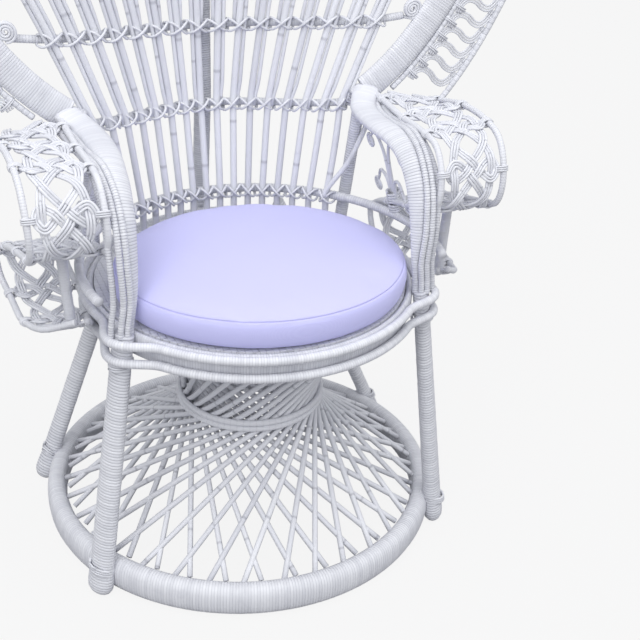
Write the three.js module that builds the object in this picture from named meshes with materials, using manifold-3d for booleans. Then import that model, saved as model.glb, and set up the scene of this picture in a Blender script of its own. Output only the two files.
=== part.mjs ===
// Peacock chair in woven cane: a round base hoop, an hourglass of crossed canes, a round seat,
// four wrapped legs, two scrolled arms with woven armrests and a tall round fan back, with one
// loose round cushion. Lengths in millimetres, +Z up, X across the chair, the sitter faces -Y.
import * as THREE from "three";
import Module from "manifold-3d";

const wasm = await Module();
wasm.setup();

// General fits and mesh fineness.
const GAP = 0.3; // clearance between neighbouring pieces
const OVERRUN = 2; // how far a cut runs past the face it opens
const CANE_SIDES = 5;
const POLE_SIDES = 8;

// Base hoop and the hourglass of crossed canes.
const HOOP_OUTER_R = 297;
const HOOP_WIDE = 46;
const HOOP_HIGH = 48;
const HOOP_SPANS = 44;
const CANE_COUNT = 34;
const CANE_R = 4;
const COLLAR_WIDE = 17;
const COLLAR_THICK = 7;
const OUTER_FOOT_R = 273;
const OUTER_WAIST_R = 97.5;
const OUTER_TOP_R = 203;
const INNER_FOOT_R = 256;
const INNER_WAIST_R = 86;
const INNER_TOP_R = 181;
const WAIST_HIGH = 200;
const WAIST_ROD_R = 4.6;
const WAIST_RING_R = 108;
const WAIST_SPANS = 24;

// Seat.
const SEAT_FORWARD = 35; // how far the seat's centre sits in front of the base's centre
const SEAT_ROD_RING_R = 233;
const SEAT_ROD_R = 6;
const LOWER_ROD_HIGH = 366;
const UPPER_ROD_HIGH = 391;
const APRON_THICK = 10;
const APRON_LOW = 361;
const SEAT_TOP = 395;
const DECK_THICK = 12;
const SEAT_SPANS = 40;
const SEAT_ROD_SPANS = 56;
const POST_BULGE = 25.5; // how far the seat rods swing out round a front post
const POST_BULGE_REACH = 58; // length of hoop on each side of a post over which they swing

// Legs.
const FRONT_FOOT_X = 260;
const FRONT_FOOT_Y = -164;
const FRONT_TOP_X = 208;
const FRONT_TOP_Y = -150;
const FRONT_LEG_TOP_R = 13.5;
const FRONT_LEG_FOOT_R = 16.5;
const REAR_FOOT_X = 289;
const REAR_FOOT_Y = 126;
const REAR_TOP_X = 120;
const REAR_TOP_Y = 188;
const REAR_LEG_TOP_R = 12;
const REAR_LEG_FOOT_R = 13;
const LEG_TOP_HIGH = 397;
const FOOT_ROUND = 9;

// Arms.
const ARCH_X = 193;
const ARCH_FRONT_Y = -150;
const ARCH_DEEP = 245; // from the front post to the fan
const ARCH_HIGH = 190; // from the top of the leg to the top of the arch
const POST_HALF_WIDE = 13;
const POST_HALF_DEEP = 12;
const PANEL_HALF_WIDE = 19;
const PANEL_HALF_DEEP = 9;
const BINDING_ROD_R = 3.6;
const BINDING_RODS = 3;
const REAR_POST_R = 9.5;
const REAR_POST_FOOT_X = 192;
const REAR_POST_FOOT_Y = 102;
const REAR_POST_TOP_X = 201;
const REAR_POST_TOP_Y = 78;
const ARM_WEAVE_X = 281;
const ARM_WEAVE_WIDE = 76;
const ARM_WEAVE_HIGH = 240; // height of the whole scroll of the woven armrest
const ARM_WEAVE_LOW = 368;
const ARM_RIM_R = 4.5;
const ARM_STRAND_HALF_WIDE = 6;
const ARM_STRAND_HALF_THICK = 2.5;
const ARM_ZIGZAG_SPANS = 12;
const ARM_TILT = 10; // how far the armrest's outer rim differs in height from its middle
const STAY_R = 4;
const SCROLL_CANE_R = 3;
const SCROLL_LOW_X = 235;
const SCROLL_TOP_X = 203;
const SCROLL_COIL_R = 13;
const SCROLL_COIL_THICK = 6;
const SCROLL_HIGH = 116;
const SCROLL_DEEP = 110;
const SCROLL_STEM_Y = -4;

// Fan back.
const FAN_CENTRE_HIGH = 940;
const FAN_OUTER_R = 490;
const FAN_INNER_R = 422;
const FAN_ROD_R = 4.4;
const BAND_WIDE = 42;
const BAND_THICK = 14;
const BORDER_SPANS = 42;
const BAND_FOOT_HIGH = 620;
const INNER_ROD_FOOT_HIGH = 600;
const OUTER_ROD_FOOT_HIGH = 575;
const FAN_DEEP = 168; // distance of the fan's middle behind the base's centre at the second hoop
const FAN_LEAN = 28; // how far the top of the fan leans back
const FAN_HOLLOW = 68; // how far the fan's sides come forward of its middle
const FAN_SIDE_LOW = 200; // half-width of the hollow at the second hoop
const FAN_SIDE_HIGH = 375; // half-width of the hollow at the fan's widest
const LACE_HALF_WIDE = 4.5;
const LACE_HALF_THICK = 2.6;
const LACE_APART = 7.6;
const SPOKES_A_SIDE = 8;
const SPOKE_R = 5;
const HOOP_ROD_R = 6.5;
const HOOP_ONE_HIGH = 445;
const HOOP_ONE_R = 233;
const HOOP_ONE_FORWARD = 89;
const HOOP_HEIGHTS = [582, 704, 850, 1000];
const HOOP_SAGS = [8, 15, 20, 24];
const HOOP_HALF_LENGTHS = [195, 283, 338, 346];
const HOOP_COIL_R = 16;
const HOOP_COIL_THICK = 8;
const SPOKE_PITCH_LOW = 21;
const SPOKE_PITCH_TWO = 24.2;
const SPOKE_PITCH_THREE = 31;
const SPOKE_PITCH_GROWTH_SHARE = 0.06; // widening of the pitch for each unit of height
const BRACE_R = 12.5;
const BRACE_FOOT_HIGH = 340;
const BRACE_TOP_HIGH = 1420;
const HALVINGS = 40;

// Cushion.
const CUSHION_HALF_WIDE = 205;
const CUSHION_HALF_DEEP = 186;
const CUSHION_FORWARD = 72;
const CUSHION_HIGH = 68;
const COVER_THICK = 2;
const CUSHION_SPANS = 26;
const ZIP_HIGH_SHARE = 0.42; // share of the cushion's height at which the zip runs
const ZIP_HALF_HIGH = 3;
const ZIP_HALF_ANGLE_SHARE = 0.09; // share of a turn on each side of the back

const TURN = 2 * Math.PI;
const X_AXIS = new THREE.Vector3(1, 0, 0);
const Y_AXIS = new THREE.Vector3(0, 1, 0);
const Z_AXIS = new THREE.Vector3(0, 0, 1);

const at = (x, y, z) => new THREE.Vector3(x, y, z);
const mix = (a, b, share) => a + (b - a) * share;
const hold = (value, low, high) => Math.min(Math.max(value, low), high);

// A closed solid from a list of points and a flat list of triangle corners, faced outward.
function solidOf(points, faces) {
  const vertProperties = new Float32Array(points.flatMap((p) => [p.x, p.y, p.z]));
  const build = (triVerts) =>
    new wasm.Manifold(new wasm.Mesh({ numProp: 3, vertProperties, triVerts }));
  const made = build(new Uint32Array(faces));
  if (made.volume() > 0) return made;
  const turned = new Uint32Array(faces);
  for (let i = 0; i < turned.length; i += 3) {
    [turned[i + 1], turned[i + 2]] = [turned[i + 2], turned[i + 1]];
  }
  return build(turned);
}

// A skin over rings of points with the same count, closed into a loop or capped at both ends.
function loft(rings, looped) {
  const sides = rings[0].length;
  const count = rings.length;
  const faces = [];
  for (let i = 0; i < (looped ? count : count - 1); i += 1) {
    const near = i * sides;
    const far = ((i + 1) % count) * sides;
    for (let j = 0; j < sides; j += 1) {
      const next = (j + 1) % sides;
      faces.push(near + j, near + next, far + next);
      faces.push(near + j, far + next, far + j);
    }
  }
  if (!looped) {
    const last = (count - 1) * sides;
    for (let j = 1; j < sides - 1; j += 1) {
      faces.push(0, j + 1, j);
      faces.push(last, last + j, last + j + 1);
    }
  }
  return solidOf(rings.flat(), faces);
}

// A unit polygon with its flats square to the axes.
function polygon(sides) {
  return Array.from({ length: sides }, (_, i) => {
    const turn = (TURN * (i + 0.5)) / sides;
    return [Math.cos(turn), Math.sin(turn)];
  });
}

// Distance from a regular polygon's middle to its flats.
const flatR = (radius, sides) => radius * Math.cos(Math.PI / sides);

const SQUARE_SHARES = [
  [1, 1],
  [-1, 1],
  [-1, -1],
  [1, -1],
];
const BLOCK_SHARES = [
  [1, 0.55],
  [0.8, 1],
  [-0.8, 1],
  [-1, 0.55],
  [-1, -0.55],
  [-0.8, -1],
  [0.8, -1],
  [1, -0.55],
];

// Sweeps a unit outline along a path. halfWide runs across both the path and `beside`, and
// halfThick runs along `beside`; each is one size or a list with one size for each point.
function sweep(path, outline, halfWide, halfThick, beside, looped = false) {
  const count = path.length;
  const sizeAt = (size, i) => (Array.isArray(size) ? size[i] : size);
  const rings = path.map((point, i) => {
    const before = looped ? path[(i + count - 1) % count] : path[Math.max(i - 1, 0)];
    const after = looped ? path[(i + 1) % count] : path[Math.min(i + 1, count - 1)];
    const along = after.clone().sub(before).normalize();
    const across = along.clone().cross(beside).normalize();
    const up = across.clone().cross(along).normalize();
    return outline.map(([u, v]) =>
      point
        .clone()
        .addScaledVector(across, u * sizeAt(halfWide, i))
        .addScaledVector(up, v * sizeAt(halfThick, i)),
    );
  });
  return loft(rings, looped);
}

const rod = (path, radius, beside, sides = CANE_SIDES, looped = false) =>
  sweep(path, polygon(sides), radius, radius, beside, looped);

// A smooth path of `spans` equal pieces through the given points.
const smooth = (points, spans) =>
  new THREE.CatmullRomCurve3(points, false, "centripetal").getSpacedPoints(spans);

// A pole with level sections through stations [x, y, z, radius].
function pole(stations, sides) {
  const rings = stations.map(([x, y, z, radius]) =>
    polygon(sides).map(([u, v]) => at(x + radius * u, y + radius * v, z)),
  );
  return loft(rings, false);
}

const joined = (solids) => solids.slice(1).reduce((all, s) => all.add(s), solids[0]);

// A flat round path about (0, y) at one height.
function roundPath(radiusAt, y, z, spans, from = 0, to = TURN) {
  const looped = to - from === TURN;
  return Array.from({ length: looped ? spans : spans + 1 }, (_, i) => {
    const turn = from + ((to - from) * i) / spans;
    const radius = radiusAt(turn);
    return at(radius * Math.cos(turn), y + radius * Math.sin(turn), z);
  });
}

// How far the axis of the base has moved forward at a height.
const axisY = (z) => (-SEAT_FORWARD * z) / UPPER_ROD_HIGH;

function baseHoop() {
  const middle = HOOP_OUTER_R - HOOP_WIDE / 2;
  const path = roundPath(() => middle, 0, HOOP_HIGH / 2, HOOP_SPANS);
  return sweep(path, BLOCK_SHARES, HOOP_WIDE / 2, HOOP_HIGH / 2, Z_AXIS, true);
}

// One family of straight canes that touch the waist circle. Each cane stands flat on the base
// hoop, and all of them end in a flat collar under the seat.
function hourglass(footR, waistR, topR, hand) {
  const footHigh = HOOP_HIGH + GAP;
  const topHigh = SEAT_TOP - DECK_THICK - GAP;
  const footLag = Math.acos(waistR / footR);
  const topLead = Math.acos(waistR / topR);
  const spot = (radius, turn, z) =>
    at(radius * Math.cos(turn), axisY(z) + radius * Math.sin(turn), z);
  const collarHigh = topHigh - COLLAR_THICK / 2;
  const collarPath = roundPath(() => topR, axisY(topHigh), collarHigh, CANE_COUNT);
  const solids = [
    sweep(collarPath, SQUARE_SHARES, COLLAR_WIDE / 2, COLLAR_THICK / 2, Z_AXIS, true),
  ];
  for (let i = 0; i < CANE_COUNT; i += 1) {
    const turn = (TURN * (i + 0.5)) / CANE_COUNT;
    const spots = [
      spot(footR, turn - hand * footLag, footHigh),
      spot(waistR, turn, WAIST_HIGH),
      spot(topR, turn + hand * topLead, collarHigh),
    ];
    solids.push(slantedCane(spots));
  }
  return joined(solids);
}

// A straight cane whose sections are level, so that its ends lie flat.
function slantedCane(spots) {
  const rings = spots.map((point, i) => {
    const before = spots[Math.max(i - 1, 0)];
    const after = spots[Math.min(i + 1, spots.length - 1)];
    const run = after.clone().sub(before);
    const level = Math.hypot(run.x, run.y);
    const stretch = run.length() / run.z;
    const [dx, dy] = [run.x / level, run.y / level];
    return polygon(CANE_SIDES - 1).map(([u, v]) => {
      const [along, across] = [u * CANE_R * stretch, v * CANE_R];
      return at(point.x + along * dx - across * dy, point.y + along * dy + across * dx, point.z);
    });
  });
  return loft(rings, false);
}

// Two rods side by side, one above the other, round the waist.
const WAIST_SHARES = [
  [0.5, 1],
  [-0.5, 1],
  [-1, 0.5],
  [-0.75, 0],
  [-1, -0.5],
  [-0.5, -1],
  [0.5, -1],
  [1, -0.5],
  [0.75, 0],
  [1, 0.5],
];

function waistRing() {
  const path = roundPath(() => WAIST_RING_R, axisY(WAIST_HIGH), WAIST_HIGH, WAIST_SPANS);
  return sweep(path, WAIST_SHARES, WAIST_ROD_R, 2 * WAIST_ROD_R, Z_AXIS, true);
}

// Radius of a seat rod: round, but swung out past each front post.
function seatRodRadius(turn) {
  const postTurns = [-1, 1].map((side) =>
    Math.atan2(FRONT_TOP_Y + SEAT_FORWARD, side * FRONT_TOP_X),
  );
  const swing = postTurns.map((post) => {
    const apart = Math.atan2(Math.sin(turn - post), Math.cos(turn - post));
    const share = Math.abs(apart * SEAT_ROD_RING_R) / POST_BULGE_REACH;
    return share < 1 ? (1 + Math.cos(Math.PI * share)) / 2 : 0;
  });
  return SEAT_ROD_RING_R + POST_BULGE * Math.max(...swing);
}

function seatRod(z) {
  const path = roundPath(seatRodRadius, -SEAT_FORWARD, z, SEAT_ROD_SPANS);
  return rod(path, SEAT_ROD_R, Z_AXIS, CANE_SIDES + 1, true);
}

const APRON_OUTER_R = SEAT_ROD_RING_R - flatR(SEAT_ROD_R, CANE_SIDES + 1) - 2 * GAP;

function seatApron() {
  const middle = APRON_OUTER_R - APRON_THICK / 2;
  const high = SEAT_TOP - APRON_LOW;
  const path = roundPath(() => middle, -SEAT_FORWARD, APRON_LOW + high / 2, SEAT_SPANS);
  return sweep(path, SQUARE_SHARES, APRON_THICK / 2, high / 2, Z_AXIS, true);
}

function seatDeck() {
  const radius = APRON_OUTER_R - APRON_THICK - GAP;
  const rings = [SEAT_TOP - DECK_THICK, SEAT_TOP].map((z) =>
    roundPath(() => radius, -SEAT_FORWARD, z, SEAT_SPANS),
  );
  return loft(rings, false);
}

// A tapered leg with a rounded foot, from the floor to the top of the seat rods.
function leg(foot, top, footR, topR) {
  const heights = [0, FOOT_ROUND, FOOT_ROUND * 3, LEG_TOP_HIGH];
  const radii = [footR - FOOT_ROUND / 3, footR + FOOT_ROUND / 5, footR, topR];
  const stations = heights.map((z, i) => {
    const share = z / LEG_TOP_HIGH;
    return [mix(foot[0], top[0], share), mix(foot[1], top[1], share), z, radii[i]];
  });
  return pole(stations, POLE_SIDES);
}

const frontLeg = (side, extra = 0) =>
  leg([side * FRONT_FOOT_X, FRONT_FOOT_Y], [side * FRONT_TOP_X, FRONT_TOP_Y],
    FRONT_LEG_FOOT_R + extra, FRONT_LEG_TOP_R + extra);

const rearLeg = (side, extra = 0) =>
  leg([side * REAR_FOOT_X, REAR_FOOT_Y], [side * REAR_TOP_X, REAR_TOP_Y],
    REAR_LEG_FOOT_R + extra, REAR_LEG_TOP_R + extra);

// Path of an arm's arch from the top of the front leg to the fan: [x, y, z] shares of its sizes.
const ARCH_PATH_SHARES = [
  [1.08, 0, -0.02],
  [1.08, 0, 0.08],
  [1.05, 0, 0.25],
  [1.01, 0.015, 0.5],
  [1, 0.07, 0.78],
  [1, 0.17, 0.93],
  [1, 0.33, 1],
  [1, 0.6, 1],
  [1.03, 0.84, 1.01],
  [1.13, 0.9895, 1.067],
];
const ARCH_PANEL_SHARES = [0, 0, 0, 0, 0.15, 0.55, 1, 1, 1, 1];
const ARCH_SPANS = 14;

function archPoint(side, [x, y, z]) {
  const high = LEG_TOP_HIGH + GAP + ARCH_HIGH * z;
  return at(side * ARCH_X * x, ARCH_FRONT_Y + ARCH_DEEP * y, high);
}

function listAt(shares, share) {
  const spot = share * (shares.length - 1);
  const low = Math.min(Math.floor(spot), shares.length - 2);
  return mix(shares[low], shares[low + 1], spot - low);
}

// Stations along an arch: its middle, and how far it has widened into the panel there.
function archStations(side) {
  const points = ARCH_PATH_SHARES.map((shares) => archPoint(side, shares));
  return smooth(points, ARCH_SPANS).map((spot, i) => ({
    spot,
    panel: listAt(ARCH_PANEL_SHARES, i / ARCH_SPANS),
  }));
}

function armArch(side, extra = 0) {
  const stations = archStations(side);
  const path = stations.map(({ spot }) => spot);
  const deep = stations.map(({ panel }) => mix(POST_HALF_DEEP, PANEL_HALF_DEEP, panel) + extra);
  const wide = stations.map(({ panel }) => mix(POST_HALF_WIDE, PANEL_HALF_WIDE, panel) + extra);
  const swept = sweep(path, BLOCK_SHARES, deep, wide, X_AXIS);
  return swept.trimByPlane([0, 0, 1], LEG_TOP_HIGH + GAP);
}

// Thin rods side by side along the outside of the arch, as one ribbed strip.
function ribbedShares(count) {
  const top = [];
  for (let i = 0; i <= 2 * count; i += 1) {
    top.push([i % 2 ? 1 : 0.6, 1 - i / count]);
  }
  return [...top, ...top.map(([u, v]) => [-u, -v])];
}

function armBinding(side) {
  const half = BINDING_RODS * BINDING_ROD_R;
  const path = archStations(side).slice(0, -2).map(({ spot, panel }) => {
    const clear = mix(POST_HALF_WIDE, PANEL_HALF_WIDE, panel) + GAP + half;
    const up = BINDING_ROD_R * panel;
    return spot.add(at(side * clear, -BINDING_ROD_R * (1 - panel), up));
  });
  const swept = sweep(path, ribbedShares(BINDING_RODS), BINDING_ROD_R, half, X_AXIS);
  return swept.trimByPlane([0, 0, 1], LEG_TOP_HIGH + GAP);
}

// The woven armrest's scroll, from the fan forward, down, back under and forward to the seat:
// [x, y, z] shares, with y measured from the arch's front and z up from the scroll's lowest point.
const SCROLL_PATH_SHARES = [
  [1.015, 1.01, 0.925],
  [1.01, 0.75, 0.955],
  [1, 0.3, 0.985],
  [0.995, 0.1, 0.95],
  [0.99, 0.005, 0.83],
  [0.985, -0.015, 0.68],
  [0.985, 0.03, 0.59],
  [0.99, 0.2, 0.53],
  [1.005, 0.55, 0.42],
  [1.03, 0.86, 0.29],
  [1.04, 0.98, 0.19],
  [1.035, 0.93, 0.09],
  [1.01, 0.75, 0.02],
  [1, 0.5, 0],
  [0.98, 0.28, 0.05],
  [0.935, 0.11, 0.16],
];
const SCROLL_WIDTH_SHARES = [1, 1, 1, 1, 1, 1, 1, 1, 1, 1, 1, 1, 1, 0.95, 0.7, 0.15];
const SCROLL_TILT_SHARES = [-1, -0.2, 0.6, 0.6, 0.3, 0, 0, 0, 0, 0, 0, 0, 0, 0, 0, 0];
const SCROLL_SPANS = 27;
const STAY_LOW_SHARE = 0.9583;
const STAY_TOP_SHARE = 0.4583;

function armScrollPath(side) {
  const points = SCROLL_PATH_SHARES.map(([x, y, z]) =>
    at(side * ARM_WEAVE_X * x, ARCH_FRONT_Y + ARCH_DEEP * y, ARM_WEAVE_LOW + ARM_WEAVE_HIGH * z),
  );
  const curve = new THREE.CatmullRomCurve3(points, false, "centripetal");
  return (share, across) => {
    const spot = curve.getPointAt(share);
    const half = (ARM_WEAVE_WIDE / 2) * listAt(SCROLL_WIDTH_SHARES, share);
    spot.x += side * half * across;
    spot.z += ARM_TILT * across * listAt(SCROLL_TILT_SHARES, share);
    return spot;
  };
}

function armWeave(side) {
  const spot = armScrollPath(side);
  const rim = (across) =>
    Array.from({ length: SCROLL_SPANS + 1 }, (_, i) => spot(i / SCROLL_SPANS, across));
  const zigzag = Array.from({ length: ARM_ZIGZAG_SPANS + 1 }, (_, i) =>
    spot(i / ARM_ZIGZAG_SPANS, i % 2 ? 1 : -1),
  );
  const strand = sweep(zigzag, SQUARE_SHARES, ARM_STRAND_HALF_THICK, ARM_STRAND_HALF_WIDE,
    X_AXIS);
  const stay = rod(
    [STAY_LOW_SHARE, STAY_TOP_SHARE].map((share) => spot(share, 0)),
    STAY_R,
    X_AXIS,
  );
  const rims = [-1, 1].map((across) => rod(rim(across), ARM_RIM_R, X_AXIS, CANE_SIDES - 1));
  const fanFace = fanY(ARM_WEAVE_X, OUTER_ROD_FOOT_HIGH) - FAN_ROD_R - GAP;
  return joined([...rims, strand, stay]).trimByPlane([0, -1, 0], -fanFace);
}

function armRearPost(side) {
  const low = UPPER_ROD_HIGH + SEAT_ROD_R + GAP;
  const stations = [
    [side * REAR_POST_FOOT_X, REAR_POST_FOOT_Y, low, REAR_POST_R],
    [side * REAR_POST_TOP_X, REAR_POST_TOP_Y, LEG_TOP_HIGH + ARCH_HIGH, REAR_POST_R],
  ];
  return pole(stations, POLE_SIDES).subtract(armArch(side, GAP));
}

// Coils and stems of the scrollwork inside an arm: [y, z] shares from the foot of the stem.
const SCROLL_COIL_SHARES = [
  [0.47, 0.78],
  [-0.5, 0.86],
  [0.5, 0.17],
  [-0.42, 0.2],
];
const SCROLL_STEM_SHARES = [
  [[0, 0], [0, 0.45], [0.08, 0.82], [0.3, 0.96], [0.47, 0.86]],
  [[0, 0.45], [-0.08, 0.84], [-0.3, 1], [-0.5, 0.93]],
  [[0, 0.2], [0.12, 0.44], [0.3, 0.45], [0.5, 0.25]],
  [[0, 0.2], [-0.12, 0.46], [-0.28, 0.47], [-0.42, 0.28]],
];
const SCROLL_STEM_SPANS = 4;

function armScroll(side) {
  const low = HOOP_ONE_HIGH + HOOP_ROD_R + GAP;
  const spot = ([y, z]) =>
    at(side * mix(SCROLL_LOW_X, SCROLL_TOP_X, z), SCROLL_STEM_Y + SCROLL_DEEP * y,
      low + SCROLL_HIGH * z);
  const coils = SCROLL_COIL_SHARES.map((shares) => {
    const middle = spot(shares);
    const ends = [-1, 1].map((face) =>
      middle.clone().add(at((face * SCROLL_COIL_THICK) / 2, 0, 0)),
    );
    return rod(ends, SCROLL_COIL_R, Z_AXIS, POLE_SIDES);
  });
  const stems = SCROLL_STEM_SHARES.map((shares) =>
    rod(smooth(shares.map(spot), SCROLL_STEM_SPANS), SCROLL_CANE_R, X_AXIS, CANE_SIDES - 1),
  );
  const foot = pole([[...spot([0, 0]).toArray(), 2 * SCROLL_CANE_R],
    [...spot([0, 0.22]).toArray(), 2 * SCROLL_CANE_R]], CANE_SIDES + 1);
  return joined([foot, ...coils, ...stems]).trimByPlane([0, 0, 1], low);
}

// Height and place of points on the fan's hollowed face.
const fanMiddleY = (z) =>
  FAN_DEEP + (FAN_LEAN * (z - HOOP_HEIGHTS[0])) / (BRACE_TOP_HIGH - HOOP_HEIGHTS[0]);

function fanY(x, z) {
  const rise = (z - HOOP_HEIGHTS[0]) / (FAN_CENTRE_HIGH - HOOP_HEIGHTS[0]);
  const side = mix(FAN_SIDE_LOW, FAN_SIDE_HIGH, hold(rise, 0, 1));
  const u = Math.min(Math.abs(x) / side, 1);
  return fanMiddleY(z) - FAN_HOLLOW * (2 * u ** 2 - u ** 4);
}

const hoopOneY = (x) => Math.sqrt(HOOP_ONE_R ** 2 - x ** 2) - HOOP_ONE_FORWARD;

function spokeY(x, z) {
  if (z >= HOOP_HEIGHTS[0]) return fanY(x, z);
  const share = (z - HOOP_ONE_HIGH) / (HOOP_HEIGHTS[0] - HOOP_ONE_HIGH);
  return mix(hoopOneY(x), fanY(x, HOOP_HEIGHTS[0]), hold(share, 0, 1));
}

// A point on the fan's face at a distance and a turn from its centre.
function onFan(radius, turn, back = 0) {
  const x = radius * Math.cos(turn);
  const z = FAN_CENTRE_HIGH + radius * Math.sin(turn);
  return at(x, fanY(x, z) + back, z);
}

// The turn below the level at which a ring of the fan comes down to a height.
const dropTurn = (radius, z) => Math.asin((z - FAN_CENTRE_HIGH) / radius);

// The turns at which the border's rods and strands bend, so that they fit each other.
const BORDER_TURNS = Array.from({ length: BORDER_SPANS + 1 }, (_, i) => {
  const from = dropTurn(FAN_INNER_R, INNER_ROD_FOOT_HIGH);
  return mix(from, Math.PI - from, i / BORDER_SPANS);
});

function fanRing(radius, halfWide, halfThick, outline, footHigh) {
  const from = dropTurn(radius, footHigh);
  const step = (BORDER_TURNS[1] - BORDER_TURNS[0]) / 4;
  const inner = BORDER_TURNS.filter((t) => t > from + step && t < Math.PI - from - step);
  const path = [from, ...inner, Math.PI - from].map((turn) => onFan(radius, turn));
  return sweep(path, outline, halfWide, halfThick, Y_AXIS);
}

const FAN_ROD_FLAT_R = flatR(FAN_ROD_R, CANE_SIDES + 1);
const BAND_OUTER_R = FAN_INNER_R - FAN_ROD_FLAT_R - GAP;
const BAND_SHARES = [
  [1, -1],
  [1, 0.4],
  [0.75, 1],
  [-0.75, 1],
  [-1, 0.4],
  [-1, -1],
];

const fanBand = () =>
  fanRing(BAND_OUTER_R - BAND_WIDE / 2, BAND_WIDE / 2, BAND_THICK / 2, BAND_SHARES,
    BAND_FOOT_HIGH);

const fanRod = (radius, footHigh) =>
  fanRing(radius, FAN_ROD_R, FAN_ROD_R, polygon(CANE_SIDES + 1), footHigh);

// A strand that runs to and fro between the two rods of the border.
function fanLace(side) {
  const low = FAN_INNER_R + FAN_ROD_FLAT_R + GAP + LACE_HALF_WIDE;
  const high = FAN_OUTER_R - FAN_ROD_FLAT_R - GAP - LACE_HALF_WIDE;
  const from = dropTurn(FAN_OUTER_R, OUTER_ROD_FOOT_HIGH);
  const turns = BORDER_TURNS.filter((turn) => turn > from && turn < Math.PI - from);
  const path = turns.map((turn, i) => {
    const outside = (i % 2 === 0) === side > 0;
    return onFan(outside ? high : low, turn, (side * LACE_APART) / 2);
  });
  return sweep(path, SQUARE_SHARES, LACE_HALF_WIDE, LACE_HALF_THICK, Y_AXIS);
}

// Distance of neighbouring spokes at a height.
function spokePitch(z) {
  if (z < HOOP_HEIGHTS[0]) {
    const share = (z - HOOP_ONE_HIGH) / (HOOP_HEIGHTS[0] - HOOP_ONE_HIGH);
    return mix(SPOKE_PITCH_LOW, SPOKE_PITCH_TWO, Math.max(share, 0));
  }
  if (z < HOOP_HEIGHTS[1]) {
    const share = (z - HOOP_HEIGHTS[0]) / (HOOP_HEIGHTS[1] - HOOP_HEIGHTS[0]);
    return mix(SPOKE_PITCH_TWO, SPOKE_PITCH_THREE, share);
  }
  return SPOKE_PITCH_THREE + SPOKE_PITCH_GROWTH_SHARE * (z - HOOP_HEIGHTS[1]);
}

// Height at which a spoke meets the inner edge of the fan's band.
function spokeTop(place) {
  const reach = BAND_OUTER_R - BAND_WIDE - GAP - SPOKE_R;
  let low = FAN_CENTRE_HIGH;
  let high = FAN_CENTRE_HIGH + reach;
  for (let i = 0; i < HALVINGS; i += 1) {
    const middle = (low + high) / 2;
    const x = Math.abs(place) * spokePitch(middle);
    if (Math.hypot(x, middle - FAN_CENTRE_HIGH) < reach) low = middle;
    else high = middle;
  }
  return low;
}

function spoke(place) {
  const top = spokeTop(place);
  const heights = [SEAT_TOP + GAP, HOOP_ONE_HIGH, ...HOOP_HEIGHTS, top];
  const stations = heights
    .filter((z) => z <= top)
    .map((z) => {
      const x = place * spokePitch(z);
      return [x, spokeY(x, z), z, SPOKE_R];
    });
  return pole(stations, CANE_SIDES + 1);
}

const spokePlaces = Array.from(
  { length: 2 * SPOKES_A_SIDE },
  (_, i) => i + 0.5 - SPOKES_A_SIDE,
);
const HOOP_BACK = SPOKE_R + 2 * GAP + flatR(HOOP_ROD_R, CANE_SIDES + 1);

// A point behind the fan's face by one distance, square to the face.
function behindFan(x, z, back) {
  const step = SPOKE_R;
  const slope = (fanY(x + step, z) - fanY(x - step, z)) / (2 * step);
  const run = Math.hypot(1, slope);
  return at(x - (back * slope) / run, fanY(x, z) + back / run, z);
}

function fanHoop(index) {
  const half = HOOP_HALF_LENGTHS[index];
  const high = HOOP_HEIGHTS[index];
  const places = spokePlaces.map((place) => place * spokePitch(high));
  const within = places.filter((x) => Math.abs(x) < half - HOOP_COIL_R);
  const path = [-half, ...within, half].map((x) => {
    const spot = behindFan(x, high, HOOP_BACK);
    spot.z -= HOOP_SAGS[index] * (1 - (x / half) ** 2);
    return spot;
  });
  const coils = [-1, 1].map((side) => {
    const y = path[0].y + HOOP_COIL_THICK / 4;
    const rings = [-1, 1].map((face) =>
      polygon(2 * CANE_SIDES).map(([u, v]) =>
        at(side * half + HOOP_COIL_R * u, y + (face * HOOP_COIL_THICK) / 2,
          high + HOOP_COIL_R * v),
      ),
    );
    return loft(rings, false);
  });
  return joined([rod(path, HOOP_ROD_R, Z_AXIS, CANE_SIDES + 1), ...coils]);
}

// The lowest hoop runs round the back and sides of the cushion to the two front posts.
function lowHoop() {
  const radius = HOOP_ONE_R + HOOP_BACK;
  const turns = spokePlaces.map((place) =>
    Math.acos((place * SPOKE_PITCH_LOW) / HOOP_ONE_R),
  );
  const last = Math.asin((ARCH_FRONT_Y - OVERRUN + HOOP_ONE_FORWARD) / radius);
  const spans = 6;
  const right = Array.from({ length: spans }, (_, i) =>
    mix(last, turns[turns.length - 1], i / spans),
  );
  const all = [...right.map((turn) => Math.PI - turn), ...turns, ...right.reverse()];
  const path = all.map((turn) =>
    at(radius * Math.cos(turn), radius * Math.sin(turn) - HOOP_ONE_FORWARD, HOOP_ONE_HIGH),
  );
  const whole = rod(path, HOOP_ROD_R, Z_AXIS, CANE_SIDES + 1);
  return whole.trimByPlane([0, 1, 0], ARCH_FRONT_Y + GAP);
}

function rearBrace() {
  const behind = HOOP_BACK + HOOP_ROD_R + GAP + flatR(BRACE_R, POLE_SIDES);
  const seatBack = SEAT_ROD_RING_R + flatR(SEAT_ROD_R, CANE_SIDES + 1);
  const low = Math.max(
    seatBack + GAP + flatR(BRACE_R, POLE_SIDES) - SEAT_FORWARD,
    hoopOneY(0) + behind,
  );
  const path = [
    at(0, low, BRACE_FOOT_HIGH),
    at(0, low, LEG_TOP_HIGH),
    at(0, fanMiddleY(HOOP_HEIGHTS[0]) + behind, HOOP_HEIGHTS[0]),
    at(0, fanMiddleY(BRACE_TOP_HIGH) + behind, BRACE_TOP_HIGH),
  ];
  return rod(path, BRACE_R, Y_AXIS, POLE_SIDES);
}

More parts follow.
